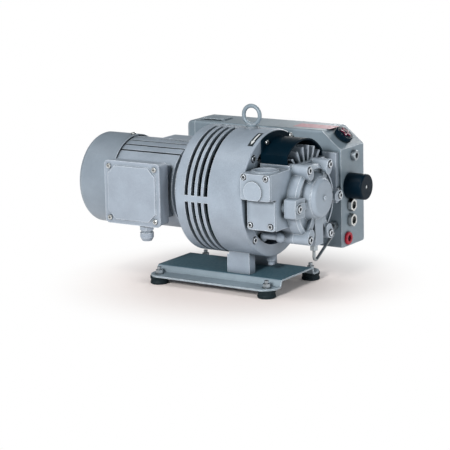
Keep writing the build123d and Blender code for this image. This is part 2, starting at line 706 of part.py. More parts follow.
# ---- Head cover ----
with BuildPart() as head_cover:
    with BuildSketch(bore_plane(CELL_END)):
        Circle(COVER_RIM_R)
    extrude(amount=COVER_FACE - CELL_END)
    chamfer(head_cover.edges().filter_by(GeomType.CIRCLE).sort_by(Axis.X)[-1], 5)
    # shallow ring pocket around the hub
    with BuildSketch(bore_plane(COVER_FACE)):
        Circle(COVER_RIM_R - 8)
    extrude(amount=-5, mode=Mode.SUBTRACT)
    # six bolt lugs, each with a rib towards the hub
    with BuildSketch(bore_plane(CELL_END)):
        with PolarLocations(COVER_BOLT_R - 5, COVER_BOLTS):
            SlotOverall(LUG_WIDTH + 10, LUG_WIDTH)
    extrude(amount=COVER_FRONT - CELL_END)
    # wider block around the lug on the inlet side
    with BuildSketch(bore_plane(164)):
        with Locations((-COVER_BOLT_R + 5, 0)):
            RectangleRounded(34, 36, 4)
    extrude(amount=COVER_FRONT - 164 - 2)
    with BuildSketch(bore_plane(COVER_FACE - 6)):
        with PolarLocations(50, COVER_BOLTS):
            Rectangle(34, 12)
    extrude(amount=10)
    # hub
    with BuildSketch(shaft_plane(COVER_FACE - 6)):
        Circle(HUB_R + 11)
    extrude(amount=COVER_FRONT - COVER_FACE + 6, taper=32)
    # oil connection rib down to the pipe fitting
    with BuildSketch(facing_x(CELL_END + 6, 0, 0)):
        with Locations((0, 119)):
            Rectangle(28, 58)
    extrude(amount=COVER_FRONT - 3 - CELL_END - 6)
    with BuildSketch(shaft_plane(COVER_FRONT)):
        Circle(BEARING_OUTER_R + FIT)
    extrude(amount=-(COVER_FRONT - 165), mode=Mode.SUBTRACT)
    with BuildSketch(shaft_plane(CELL_END)):
        Circle(14)
    extrude(amount=20, mode=Mode.SUBTRACT)
    with BuildSketch(bore_plane(CELL_END)):
        with PolarLocations(COVER_BOLT_R, COVER_BOLTS):
            Circle(M8_HOLE_R)
    extrude(amount=40, mode=Mode.SUBTRACT)
    with BuildSketch(bore_plane(COVER_FRONT)):
        with PolarLocations(COVER_BOLT_R, COVER_BOLTS):
            Circle(BOLT_SINK_R)
    extrude(amount=-BOLT_SINK, mode=Mode.SUBTRACT)
    with BuildSketch(Plane.XY.offset(90)):
        with Locations((PIPE_X, 0)):
            Circle(M10_HOLE_R)
    extrude(amount=30, mode=Mode.SUBTRACT)
head_cover.part.label = "head_cover"
export_step(head_cover.part, "parts/head_cover.step")

with BuildPart(bore_plane(COVER_FRONT - BOLT_SINK)) as cover_bolts:
    with PolarLocations(COVER_BOLT_R, COVER_BOLTS):
        add(socket_screw(8, 44, 8))
cover_bolts.part.label = "cover_bolts"
export_step(cover_bolts.part, "parts/cover_bolts.step")

with BuildPart() as hub_cap:
    with BuildSketch(Plane.XZ):
        with BuildLine():
            Polyline(
                (COVER_FRONT + 12, SHAFT_Z),
                (COVER_FRONT + 12, SHAFT_Z + 3),
                (COVER_FRONT + 10.5, SHAFT_Z + 4.5),
                (COVER_FRONT + 8.5, SHAFT_Z + 4.5),
                (COVER_FRONT + 8, SHAFT_Z + HUB_R - 8),
            )
            ThreePointArc(
                (COVER_FRONT + 8, SHAFT_Z + HUB_R - 8),
                (COVER_FRONT + 6, SHAFT_Z + HUB_R - 2.5),
                (COVER_FRONT, SHAFT_Z + HUB_R + 1),
            )
            Polyline(
                (COVER_FRONT, SHAFT_Z + HUB_R + 1),
                (COVER_FRONT, SHAFT_Z + BEARING_OUTER_R - FIT),
                (COVER_FRONT - 9, SHAFT_Z + BEARING_OUTER_R - FIT),
                (COVER_FRONT - 9, SHAFT_Z + 20),
                (COVER_FRONT, SHAFT_Z + 20),
                (COVER_FRONT, SHAFT_Z),
                (COVER_FRONT + 12, SHAFT_Z),
            )
        make_face()
    revolve(axis=Axis((0, 0, SHAFT_Z), (1, 0, 0)))
hub_cap.part.label = "hub_cap"
export_step(hub_cap.part, "parts/hub_cap.step")

# ---- Inlet covers and their screws ----
with BuildPart() as inlet_upper_cover:
    with Locations(facing_front(126, UPPER_FACE_Y, 214)):
        Box(62, 48, 6, align=(Align.CENTER, Align.CENTER, Align.MIN))
    fillet(inlet_upper_cover.edges().filter_by(Axis.Y), 5)
    with BuildSketch(facing_front(122, UPPER_FACE_Y - 6, 206)):
        Circle(19)
        with Locations((4, 8)):
            Rectangle(62, 48, mode=Mode.INTERSECT)
    extrude(amount=3)
    with BuildSketch(facing_front(0, UPPER_FACE_Y, 0)):
        with Locations(UPPER_SCREWS):
            Circle(M6_HOLE_R)
    extrude(amount=10, mode=Mode.SUBTRACT)
    with BuildSketch(facing_front(0, UPPER_FACE_Y - COVER_SINK, 0)):
        with Locations(UPPER_SCREWS):
            Circle(COVER_SINK_R)
    extrude(amount=10, mode=Mode.SUBTRACT)
inlet_upper_cover.part.label = "inlet_upper_cover"
export_step(inlet_upper_cover.part, "parts/inlet_upper_cover.step")

with BuildPart() as inlet_lower_cover:
    with Locations(facing_front(127.75, LOWER_FACE_Y, 160.5)):
        Box(58.5, 57, 5, align=(Align.CENTER, Align.CENTER, Align.MIN))
    fillet(inlet_lower_cover.edges().filter_by(Axis.Y), 5)
    with BuildSketch(facing_front(0, LOWER_FACE_Y, 0)):
        with Locations(LOWER_SCREWS):
            Circle(M6_HOLE_R)
    extrude(amount=10, mode=Mode.SUBTRACT)
    with BuildSketch(facing_front(0, LOWER_FACE_Y - COVER_SINK, 0)):
        with Locations(LOWER_SCREWS):
            Circle(COVER_SINK_R)
    extrude(amount=10, mode=Mode.SUBTRACT)
inlet_lower_cover.part.label = "inlet_lower_cover"
export_step(inlet_lower_cover.part, "parts/inlet_lower_cover.step")

with BuildPart() as inlet_screws:
    for face_y, screws in ((UPPER_FACE_Y, UPPER_SCREWS), (LOWER_FACE_Y, LOWER_SCREWS)):
        for x, z in screws:
            with Locations(facing_front(x, face_y - COVER_SINK, z)):
                add(socket_screw(6, 12, 4.5))
    with Locations(facing_x(160, SEP_NEAR_Y - 5.5, 171)):
        add(socket_screw(6, 10, 4.5))
inlet_screws.part.label = "inlet_screws"
export_step(inlet_screws.part, "parts/inlet_screws.step")

# ---- Suction non-return valve and spring ----
with BuildPart() as inlet_valve:
    with Locations((PORT_X, PORT_Y, SEAT_Z)):
        Cylinder(18, 4, align=(Align.CENTER, Align.CENTER, Align.MAX))
        Cylinder(4, 10, align=(Align.CENTER, Align.CENTER, Align.MAX))
inlet_valve.part.label = "inlet_valve"
export_step(inlet_valve.part, "parts/inlet_valve.step")

with BuildPart() as inlet_spring:
    with BuildLine(Plane.XY) as coil:
        Helix(3.6, 16, 9, center=(PORT_X, PORT_Y, CHAMBER_FLOOR + 1))
    with BuildSketch(Plane(origin=coil.line @ 0, z_dir=coil.line % 0)):
        Circle(0.8)
    sweep()
inlet_spring.part.label = "inlet_spring"
export_step(inlet_spring.part, "parts/inlet_spring.step")

# ---- Air guide over the cooling fins ----
GUIDE_LEFT = -49
GUIDE_RIGHT = 77
GUIDE_FOOT = 243


def rim_point(y):
    """Point of the air guide's outer rim, which follows the fan housing's edge."""
    return y, SHAFT_Z + math.sqrt(GUIDE_RIM_R**2 - y**2)


with BuildPart() as air_guide:
    with BuildSketch(Plane.YZ.offset(HOUSING_FRONT)):
        with BuildLine():
            Line((GUIDE_LEFT, GUIDE_FOOT), (GUIDE_LEFT, 261))
            ThreePointArc((GUIDE_LEFT, 261), (11, 284), (GUIDE_RIGHT, 254))
            Line((GUIDE_RIGHT, 254), (GUIDE_RIGHT, GUIDE_FOOT))
        trace(line_width=3)
    extrude(amount=150 - HOUSING_FRONT)
    with BuildSketch(Plane.YZ.offset(HOUSING_FRONT)):
        with BuildLine():
            Line((GUIDE_LEFT, GUIDE_FOOT), rim_point(GUIDE_LEFT))
            ThreePointArc(rim_point(GUIDE_LEFT), rim_point(11), rim_point(GUIDE_RIGHT - 5))
            Line(rim_point(GUIDE_RIGHT - 5), (GUIDE_RIGHT, 254))
            ThreePointArc((GUIDE_RIGHT, 254), (11, 284), (GUIDE_LEFT + 1, 261))
            Line((GUIDE_LEFT + 1, 261), (GUIDE_LEFT + 1, GUIDE_FOOT))
            Line((GUIDE_LEFT + 1, GUIDE_FOOT), (GUIDE_LEFT, GUIDE_FOOT))
        make_face()
    extrude(amount=3)
    with BuildSketch(shaft_plane(HOUSING_FRONT)):
        with Locations(GUIDE_SCREWS):
            Circle(M5_HOLE_R)
    extrude(amount=3, mode=Mode.SUBTRACT)
    with BuildSketch(shaft_plane(HOUSING_FRONT)):
        with PolarLocations(FRAME_BOLT_R, 4, start_angle=45):
            Circle(9)
    extrude(amount=12, mode=Mode.SUBTRACT)
air_guide.part.label = "air_guide"
export_step(air_guide.part, "parts/air_guide.step")

with BuildPart(shaft_plane(HOUSING_FRONT + 3)) as air_guide_screws:
    with Locations(GUIDE_SCREWS):
        add(pan_screw(5, 8))
air_guide_screws.part.label = "air_guide_screws"
export_step(air_guide_screws.part, "parts/air_guide_screws.step")

# ---- Oil separator ----
FILLER_PLANE = Plane(origin=(144, 165, 264.75), x_dir=(0, 1, 0), z_dir=(34.5, 0, 42))
FLOAT_PIN_PLANE = facing_front(FLOAT_HINGE_X, 190, FLOAT_HINGE_Z)

with BuildPart() as separator_housing:
    with BuildSketch(Plane.XZ.offset(-SEP_FAR_Y)):
        with BuildLine():
            Polyline(
                (SEP_BACK, SEP_BOTTOM),
                (SEP_FRONT, SEP_BOTTOM),
                (SEP_FRONT, CHAMFER_Z),
                (CHAMFER_X, SEP_TOP),
                (SEP_BACK, SEP_TOP),
                (SEP_BACK, SEP_BOTTOM),
            )
        make_face()
    extrude(amount=SEP_FAR_Y - SEP_NEAR_Y)
    fillet(separator_housing.edges().filter_by(Axis.X), 5)
    with BuildSketch(Plane.XZ.offset(-SEP_FAR_Y + SEP_WALL)):
        with BuildLine():
            Polyline(
                (SEP_BACK, SEP_BOTTOM + SEP_WALL),
                (SEP_FRONT - SEP_WALL - 2, SEP_BOTTOM + SEP_WALL),
                (SEP_FRONT - SEP_WALL - 2, CHAMFER_Z - 4),
                (CHAMFER_X - 3, SEP_TOP - SEP_WALL),
                (SEP_BACK, SEP_TOP - SEP_WALL),
                (SEP_BACK, SEP_BOTTOM + SEP_WALL),
            )
        make_face()
    extrude(amount=SEP_FAR_Y - SEP_NEAR_Y - 2 * SEP_WALL, mode=Mode.SUBTRACT)
    # gas inlet window behind the reed pocket
    with Locations((OUTLET_X, SEP_NEAR_Y, 203)):
        Box(34, SEP_WALL, 38, align=(Align.CENTER, Align.MIN, Align.CENTER), mode=Mode.SUBTRACT)
    # bracket and pin that carry the float
    with Locations((FLOAT_HINGE_X - 6, 190, FLOAT_HINGE_Z)):
        Box(SEP_FRONT - SEP_WALL - FLOAT_HINGE_X + 6, 4, 12, align=(Align.MIN, Align.MIN, Align.CENTER))
    with BuildSketch(FLOAT_PIN_PLANE):
        Circle(2)
    extrude(amount=10)
    # exhaust opening in the top
    with Locations((EXHAUST_X, EXHAUST_Y, SEP_TOP)):
        Box(40, 24, SEP_WALL, align=(Align.CENTER, Align.CENTER, Align.MAX), mode=Mode.SUBTRACT)
    # holes in the end face: top plug, filter nipple, two sight glasses, drain
    with BuildSketch(Plane.YZ.offset(SEP_FRONT)):
        with Locations(TOP_PLUG, DRAIN):
            Circle(6.6)
        with Locations(FILTER_NIPPLE):
            Circle(M20_HOLE_R)
        with Locations(SIGHT_GLASSES):
            Circle(8.3)
    extrude(amount=-8, mode=Mode.SUBTRACT)
    # oil return hole for the pipe fitting on the front face
    with BuildSketch(facing_front(RETURN_X, SEP_NEAR_Y, RETURN_Z)):
        Circle(M10_HOLE_R)
    extrude(amount=-6, mode=Mode.SUBTRACT)
    # filler neck through the sloped corner
    with BuildSketch(FILLER_PLANE):
        Circle(13.3)
    extrude(amount=-16, mode=Mode.SUBTRACT)
separator_housing.part.label = "separator_housing"
export_step(separator_housing.part, "parts/separator_housing.step")

with BuildPart() as separator_rear_cover:
    with BuildSketch(facing_x(SEP_BACK, 167.5, 169)):
        RectangleRounded(SEP_FAR_Y - SEP_NEAR_Y, SEP_TOP - SEP_BOTTOM, 5)
    extrude(amount=SEP_CAP_BACK - SEP_BACK)
    back_edges = separator_rear_cover.faces().sort_by(Axis.X)[0].edges().filter_by(Axis.Z)
    fillet(back_edges.sort_by(Axis.Y)[-1], 17)
    with BuildSketch(facing_x(SEP_BACK, 162, 169)):
        Rectangle(62, SEP_TOP - SEP_BOTTOM - 14)
    extrude(amount=-15, mode=Mode.SUBTRACT)
separator_rear_cover.part.label = "separator_rear_cover"
export_step(separator_rear_cover.part, "parts/separator_rear_cover.step")

with BuildPart() as exhaust_cover:
    with Locations((EXHAUST_X, EXHAUST_Y, SEP_TOP)):
        Box(54, 33, 3.5, align=(Align.CENTER, Align.CENTER, Align.MIN))
    fillet(exhaust_cover.edges().filter_by(Axis.Z), 4)
    # gas leaves sideways through the gap under the plate
    with Locations((EXHAUST_X, EXHAUST_Y, SEP_TOP)):
        Box(42, 40, 1.5, align=(Align.CENTER, Align.CENTER, Align.MIN), mode=Mode.SUBTRACT)
exhaust_cover.part.label = "exhaust_cover"
export_step(exhaust_cover.part, "parts/exhaust_cover.step")

with BuildPart() as exhaust_filters:
    for height in (236, 165):
        with BuildSketch(facing_x(-164, 167.5, height)):
            Circle(33)
            Circle(20, mode=Mode.SUBTRACT)
        extrude(amount=180)
exhaust_filters.part.label = "exhaust_filters"
export_step(exhaust_filters.part, "parts/exhaust_filters.step")

with BuildPart() as exhaust_reeds:
    with Locations((OUTLET_X, SEP_NEAR_Y - 15, REED_TOP)):
        with GridLocations(REED_PITCH, 0, 3, 1):
            Box(10, 0.8, 30, align=(Align.CENTER, Align.MIN, Align.MAX))
exhaust_reeds.part.label = "exhaust_reeds"
export_step(exhaust_reeds.part, "parts/exhaust_reeds.step")

with BuildPart() as oil_float:
    with Locations((FLOAT_HINGE_X - 55, 185, FLOAT_HINGE_Z)):
        Cylinder(13, 26)
    fillet(oil_float.edges().filter_by(GeomType.CIRCLE), 8)
    with BuildSketch(facing_x(FLOAT_HINGE_X - 46, 185, FLOAT_HINGE_Z)):
        Rectangle(3, 4)
    extrude(amount=46)
    with BuildSketch(FLOAT_PIN_PLANE.offset(1)):
        Circle(5)
    extrude(amount=8)
    with BuildSketch(FLOAT_PIN_PLANE.offset(1)):
        Circle(2.05)
    extrude(amount=8, mode=Mode.SUBTRACT)
oil_float.part.label = "oil_float"
export_step(oil_float.part, "parts/oil_float.step")

with BuildPart(FILLER_PLANE) as filler_seal:
    Cylinder(17, 2, align=(Align.CENTER, Align.CENTER, Align.MIN))
    Cylinder(13.25, 2, align=(Align.CENTER, Align.CENTER, Align.MIN), mode=Mode.SUBTRACT)
filler_seal.part.label = "filler_seal"
export_step(filler_seal.part, "parts/filler_seal.step")

with BuildPart(FILLER_PLANE.offset(2)) as filler_cap:
    Cylinder(18, CAP_HEIGHT, align=(Align.CENTER, Align.CENTER, Align.MIN))
    chamfer(filler_cap.edges(), 1.2)
    with PolarLocations(18.4, 24):
        Cylinder(1.3, CAP_HEIGHT, align=(Align.CENTER, Align.CENTER, Align.MIN), mode=Mode.SUBTRACT)
    Cylinder(13.2, 12, align=(Align.CENTER, Align.CENTER, Align.MAX))
filler_cap.part.label = "filler_cap"
export_step(filler_cap.part, "parts/filler_cap.step")

# ---- End-face fittings: plug, filter, sight glasses, drain ----
with BuildPart(facing_x(SEP_FRONT, *TOP_PLUG)) as top_plug:
    Cylinder(10, 8, align=(Align.CENTER, Align.CENTER, Align.MIN))
    chamfer(top_plug.faces().sort_by(Axis.X)[-1].edges(), 1.2)
    Cylinder(6.5, 7, align=(Align.CENTER, Align.CENTER, Align.MAX))
    with BuildSketch(facing_x(SEP_FRONT + 8, *TOP_PLUG)):
        RegularPolygon(5, 6, major_radius=False)
    extrude(amount=-6, mode=Mode.SUBTRACT)
top_plug.part.label = "top_plug"
export_step(top_plug.part, "parts/top_plug.step")

with BuildPart(facing_x(SEP_FRONT, *FILTER_NIPPLE)) as oil_filter:
    Cylinder(25, 38, align=(Align.CENTER, Align.CENTER, Align.MIN))
    fillet(oil_filter.edges().filter_by(GeomType.CIRCLE).sort_by(Axis.X)[-1], 3)
    Cylinder(10, 7, align=(Align.CENTER, Align.CENTER, Align.MAX))
    with BuildSketch(facing_x(SEP_FRONT + 38, *FILTER_NIPPLE)):
        RegularPolygon(4, 6, major_radius=False)
    extrude(amount=-3, mode=Mode.SUBTRACT)
oil_filter.part.label = "oil_filter"
export_step(oil_filter.part, "parts/oil_filter.step")

with BuildPart() as sight_glass_bodies:
    for y, z in SIGHT_GLASSES:
        with Locations(facing_x(SEP_FRONT, y, z)):
            add(hex_prism(22, GLASS_HEAD).rotate(Axis.Z, 30))
            Cylinder(8.2, 7, align=(Align.CENTER, Align.CENTER, Align.MAX))
    with BuildSketch(Plane.YZ.offset(SEP_FRONT + GLASS_HEAD)):
        with Locations(SIGHT_GLASSES):
            Circle(7.6)
    extrude(amount=1 - GLASS_HEAD, mode=Mode.SUBTRACT)
sight_glass_bodies.part.label = "sight_glass_bodies"
export_step(sight_glass_bodies.part, "parts/sight_glass_bodies.step")

with BuildPart() as sight_glass_lenses:
    with BuildSketch(Plane.YZ.offset(SEP_FRONT + 1)):
        with Locations(SIGHT_GLASSES):
            Circle(7.55)
    extrude(amount=GLASS_HEAD - 4.5)
sight_glass_lenses.part.label = "sight_glass_lenses"
export_step(sight_glass_lenses.part, "parts/sight_glass_lenses.step")

with BuildPart(facing_x(SEP_FRONT, *DRAIN)) as drain_plug:
    Cylinder(12.5, DRAIN_HEAD, align=(Align.CENTER, Align.CENTER, Align.MIN))
    chamfer(drain_plug.faces().sort_by(Axis.X)[-1].edges(), 1.2)
    Cylinder(6.5, 7, align=(Align.CENTER, Align.CENTER, Align.MAX))
    with BuildSketch(facing_x(SEP_FRONT + DRAIN_HEAD, *DRAIN)):
        RegularPolygon(6, 6, major_radius=False)
    extrude(amount=-4, mode=Mode.SUBTRACT)
drain_plug.part.label = "drain_plug"
export_step(drain_plug.part, "parts/drain_plug.step")

# ---- Oil pipe and fittings ----
with BuildPart() as oil_pipe:
    with BuildLine() as pipe_path:
        FilletPolyline(
            (PIPE_X, 0, 84),
            (PIPE_X, 0, 54),
            (PIPE_X + 1, 70, 95),
            (RETURN_X, 108, RETURN_Z),
            (RETURN_X, 124, RETURN_Z),
            radius=7,
        )
    with BuildSketch(Plane(origin=pipe_path.line @ 0, z_dir=pipe_path.line % 0)):
        Circle(PIPE_R)
    sweep()
oil_pipe.part.label = "oil_pipe"
export_step(oil_pipe.part, "parts/oil_pipe.step")

with BuildPart() as pipe_fittings:
    with Locations((PIPE_X, 0, 79)):
        add(hex_prism(14, 11))
        Cylinder(5, 18, align=(Align.CENTER, Align.CENTER, Align.MIN))
        Hole(3, 12)
    with Locations(facing_front(RETURN_X, SEP_NEAR_Y, RETURN_Z)):
        add(hex_prism(14, 9))
        Cylinder(5, 5, align=(Align.CENTER, Align.CENTER, Align.MAX))
        Hole(3, 30)
pipe_fittings.part.label = "pipe_fittings"
export_step(pipe_fittings.part, "parts/pipe_fittings.step")

# ---- Shaft train ----
with BuildPart() as rotor:
    with BuildSketch(shaft_plane(CELL_START + END_GAP)):
        Circle(ROTOR_R)
    extrude(amount=CELL_END - CELL_START - 2 * END_GAP)
    with BuildSketch(shaft_plane(8)):
        Circle(BEARING_BORE_R - FIT)
    extrude(amount=178)
    with BuildSketch(shaft_plane(CELL_START)):
        with PolarLocations((SLOT_FLOOR_R + ROTOR_R + 5) / 2, VANE_COUNT, start_angle=45):
            Rectangle(ROTOR_R + 5 - SLOT_FLOOR_R, VANE_THICKNESS + 2 * 0.04)
    extrude(amount=CELL_END - CELL_START, mode=Mode.SUBTRACT)
rotor.part.label = "rotor"
export_step(rotor.part, "parts/rotor.step")

for index in range(VANE_COUNT):
    with BuildPart() as vane:
        with BuildSketch(shaft_plane(CELL_START + END_GAP)):
            middle = Location((ROTOR_R - 0.1 - VANE_HEIGHT / 2, 0))
            with Locations(Rotation(0, 0, 45 + 90 * index) * middle):
                Rectangle(VANE_HEIGHT, VANE_THICKNESS)
        extrude(amount=CELL_END - CELL_START - 2 * END_GAP)
    vane.part.label = f"vane_{index + 1}"
    export_step(vane.part, f"parts/vane_{index + 1}.step")

with BuildPart() as pump_coupling:
    with BuildSketch(shaft_plane(8)):
        Circle(29)
    extrude(amount=28)
    with BuildSketch(shaft_plane(-4)):
        with PolarLocations(22, 3, start_angle=60):
            Rectangle(12, 9)
    extrude(amount=12)
    with BuildSketch(shaft_plane(16)):
        Circle(104)
    extrude(amount=3)
    with BuildSketch(shaft_plane(-36)):
        with PolarLocations(84, 20):
            Rectangle(40, 2.6, rotation=28)
    extrude(amount=52)
    with BuildSketch(shaft_plane(-4)):
        Circle(BEARING_BORE_R)
    extrude(amount=60, mode=Mode.SUBTRACT)
pump_coupling.part.label = "pump_coupling"
export_step(pump_coupling.part, "parts/pump_coupling.step")

with BuildPart() as coupling_spider:
    with BuildSketch(shaft_plane(-4)):
        Circle(15)
        with PolarLocations(13, 6, start_angle=30):
            Rectangle(26, 8)
        Circle(8, mode=Mode.SUBTRACT)
    extrude(amount=10)
coupling_spider.part.label = "coupling_spider"
export_step(coupling_spider.part, "parts/coupling_spider.step")

with BuildPart() as motor_coupling:
    with BuildSketch(shaft_plane(-34)):
        Circle(29)
    extrude(amount=28)
    with BuildSketch(shaft_plane(-6)):
        with PolarLocations(22, 3):
            Rectangle(12, 9)
    extrude(amount=12)
    with BuildSketch(shaft_plane(-34)):
        Circle(BEARING_BORE_R)
    extrude(amount=28, mode=Mode.SUBTRACT)
motor_coupling.part.label = "motor_coupling"
export_step(motor_coupling.part, "parts/motor_coupling.step")

with BuildPart() as motor_shaft:
    with BuildSketch(shaft_plane(-290)):
        Circle(BEARING_BORE_R - FIT)
    extrude(amount=280)
motor_shaft.part.label = "motor_shaft"
export_step(motor_shaft.part, "parts/motor_shaft.step")

with BuildPart() as motor_rotor_core:
    with BuildSketch(shaft_plane(-195)):
        Circle(41.6)
        Circle(BEARING_BORE_R, mode=Mode.SUBTRACT)
    extrude(amount=80)
    for start in (-201, -115):
        with BuildSketch(shaft_plane(start)):
            Circle(40)
            Circle(28, mode=Mode.SUBTRACT)
        extrude(amount=6)
motor_rotor_core.part.label = "motor_rotor_core"
export_step(motor_rotor_core.part, "parts/motor_rotor_core.step")

with BuildPart() as motor_fan:
    with BuildSketch(shaft_plane(-286)):
        Circle(18)
    extrude(amount=30)
    with BuildSketch(shaft_plane(-262)):
        Circle(72)
    extrude(amount=3)
    with BuildSketch(shaft_plane(-284)):
        with PolarLocations(50, 8):
            Rectangle(44, 2.4)
    extrude(amount=24)
    with BuildSketch(shaft_plane(-290)):
        Circle(BEARING_BORE_R)
    extrude(amount=40, mode=Mode.SUBTRACT)
motor_fan.part.label = "motor_fan"
export_step(motor_fan.part, "parts/motor_fan.step")

# ---- Bearings ----
def bearing_ring(inner, outer):
    """One plain ring with a ball groove, at x from 0 to the bearing width."""
    with BuildPart() as ring:
        with BuildSketch(facing_x(0, 0, 0)):
            Circle(outer)
            Circle(inner, mode=Mode.SUBTRACT)
        extrude(amount=BEARING_WIDTH)
        with Locations(facing_x(BEARING_WIDTH / 2, 0, 0)):
            Torus(BALL_PITCH_R, BALL_R + 0.06, mode=Mode.SUBTRACT)
    return ring.part


with BuildPart() as bearing_inner_rings:
    with Locations([(start, 0, SHAFT_Z) for start in BEARING_STARTS]):
        add(bearing_ring(BEARING_BORE_R, 16.4))
bearing_inner_rings.part.label = "bearing_inner_rings"
export_step(bearing_inner_rings.part, "parts/bearing_inner_rings.step")

with BuildPart() as bearing_outer_rings:
    with Locations([(start, 0, SHAFT_Z) for start in BEARING_STARTS]):
        add(bearing_ring(22.1, BEARING_OUTER_R))
bearing_outer_rings.part.label = "bearing_outer_rings"
export_step(bearing_outer_rings.part, "parts/bearing_outer_rings.step")

with BuildPart() as bearing_balls:
    for start in BEARING_STARTS:
        with Locations(shaft_plane(start + BEARING_WIDTH / 2)):
            with PolarLocations(BALL_PITCH_R, BALL_COUNT):
                Sphere(BALL_R)
bearing_balls.part.label = "bearing_balls"
export_step(bearing_balls.part, "parts/bearing_balls.step")
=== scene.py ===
import math

import bmesh
import bpy
from mathutils import Matrix, Vector


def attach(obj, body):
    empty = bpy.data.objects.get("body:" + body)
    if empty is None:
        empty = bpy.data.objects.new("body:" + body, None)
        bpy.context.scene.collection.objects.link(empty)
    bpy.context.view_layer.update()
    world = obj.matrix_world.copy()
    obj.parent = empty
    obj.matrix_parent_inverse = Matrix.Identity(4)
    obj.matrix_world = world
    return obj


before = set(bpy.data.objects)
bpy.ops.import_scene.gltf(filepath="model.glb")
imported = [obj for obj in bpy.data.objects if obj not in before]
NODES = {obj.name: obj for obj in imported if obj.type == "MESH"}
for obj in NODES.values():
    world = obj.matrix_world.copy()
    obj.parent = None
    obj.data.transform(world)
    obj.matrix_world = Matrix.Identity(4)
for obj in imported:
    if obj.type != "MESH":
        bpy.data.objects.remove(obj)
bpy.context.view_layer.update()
MM = 0.001


# ---------------------------------------------------------------- node helpers
class Graph:
    """Small helper that builds one procedural material."""

    def __init__(self, name):
        self.material = bpy.data.materials.new(name)
        self.material.use_nodes = True
        self.tree = self.material.node_tree
        self.tree.nodes.clear()
        self.output = self.tree.nodes.new("ShaderNodeOutputMaterial")
        self.shader = self.tree.nodes.new("ShaderNodeBsdfPrincipled")
        self.tree.links.new(self.shader.outputs["BSDF"], self.output.inputs["Surface"])
        self.place = self.tree.nodes.new("ShaderNodeTexCoord").outputs["Object"]

    def node(self, kind, **settings):
        node = self.tree.nodes.new(kind)
        for key, value in settings.items():
            setattr(node, key, value)
        return node

    def link(self, output, target):
        self.tree.links.new(output, target)

    def noise(self, size_mm, detail=3.0, roughness=0.5, stretch=None):
        """Noise whose features are about size_mm across."""
        source = self.place
        if stretch:
            mapping = self.node("ShaderNodeMapping")
            mapping.inputs["Scale"].default_value = stretch
            self.link(self.place, mapping.inputs["Vector"])
            source = mapping.outputs["Vector"]
        noise = self.node("ShaderNodeTexNoise")
        noise.inputs["Scale"].default_value = 1.0 / (size_mm * MM)
        noise.inputs["Detail"].default_value = detail
        noise.inputs["Roughness"].default_value = roughness
        self.link(source, noise.inputs["Vector"])
        return noise.outputs["Fac"]

    def cells(self, size_mm, feature="SMOOTH_F1"):
        """Rounded cells about size_mm across."""
        cells = self.node("ShaderNodeTexVoronoi", feature=feature)
        cells.inputs["Scale"].default_value = 1.0 / (size_mm * MM)
        self.link(self.place, cells.inputs["Vector"])
        return cells.outputs["Distance"]

    def spread(self, value, low_in, high_in, low_out, high_out):
        """Maps a value from one range to another."""
        node = self.node("ShaderNodeMapRange")
        node.inputs["From Min"].default_value = low_in
        node.inputs["From Max"].default_value = high_in
        node.inputs["To Min"].default_value = low_out
        node.inputs["To Max"].default_value = high_out
        self.link(value, node.inputs["Value"])
        return node.outputs["Result"]

    def math(self, operation, a, b=None):
        node = self.node("ShaderNodeMath", operation=operation)
        self.feed(a, node.inputs[0])
        if b is not None:
            self.feed(b, node.inputs[1])
        return node.outputs["Value"]

    def feed(self, value, target):
        if isinstance(value, bpy.types.NodeSocket):
            self.link(value, target)
        else:
            target.default_value = value

    def mix(self, factor, a, b, blend="MIX"):
        node = self.node("ShaderNodeMix", data_type="RGBA", blend_type=blend)
        self.feed(factor, node.inputs["Factor"])
        self.feed(a, node.inputs[6])
        self.feed(b, node.inputs[7])
        return node.outputs[2]

    def bump(self, height, strength, distance_mm, normal=None):
        """Surface relief on top of a given normal."""
        node = self.node("ShaderNodeBump")
        node.inputs["Strength"].default_value = strength
        node.inputs["Distance"].default_value = distance_mm * MM
        self.link(height, node.inputs["Height"])
        if normal is not None:
            self.link(normal, node.inputs["Normal"])
        return node.outputs["Normal"]

    def round_edges(self, radius_mm):
        """Normal that runs softly over sharp edges."""
        node = self.node("ShaderNodeBevel", samples=4)
        node.inputs["Radius"].default_value = radius_mm * MM
        return node.outputs["Normal"]

    def edges(self, radius_mm):
        """1 along sharp edges, 0 on faces."""
        rounded = self.round_edges(radius_mm)
        straight = self.node("ShaderNodeNewGeometry").outputs["Normal"]
        match = self.node("ShaderNodeVectorMath", operation="DOT_PRODUCT")
        self.link(rounded, match.inputs[0])
        self.link(straight, match.inputs[1])
        return self.spread(match.outputs["Value"], 0.995, 0.93, 0.0, 1.0)

    def crevices(self, distance_mm):
        """0 in tight corners, 1 in the open."""
        node = self.node("ShaderNodeAmbientOcclusion", samples=6)
        node.inputs["Distance"].default_value = distance_mm * MM
        return node.outputs["AO"]

    def above(self, height_mm):
        """1 above a height over the floor, 0 below it."""
        split = self.node("ShaderNodeSeparateXYZ")
        self.link(self.place, split.inputs["Vector"])
        return self.spread(split.outputs["Z"], (height_mm - 0.4) * MM, (height_mm + 0.4) * MM, 0.0, 1.0)

    def finish(self, color, roughness, normal=None, metallic=0.0, **extra):
        """Connects the finished colour, roughness and normal to the shader."""
        self.feed(color, self.shader.inputs["Base Color"])
        self.feed(roughness, self.shader.inputs["Roughness"])
        self.shader.inputs["Metallic"].default_value = metallic
        if normal is not None:
            self.link(normal, self.shader.inputs["Normal"])
        for key, value in extra.items():
            self.feed(value, self.shader.inputs[key.replace("_", " ")])
        return self.material


def rgb(red, green, blue):
    """Opaque colour for a node input."""
    return (red, green, blue, 1.0)


# ---------------------------------------------------------------- materials
# Colours are linear red, green and blue; sizes that end in _mm are millimetres
# Painted shade: dark teal that the enamels lay into corners and creases. Painted highlight: light colour
# laid along sharp edges, over the width in mm below.
CREVICE_SHADE = (0.03, 0.075, 0.095)
EDGE_HIGHLIGHT = (0.80, 0.86, 0.92)
EDGE_HIGHLIGHT_MM = 1.7


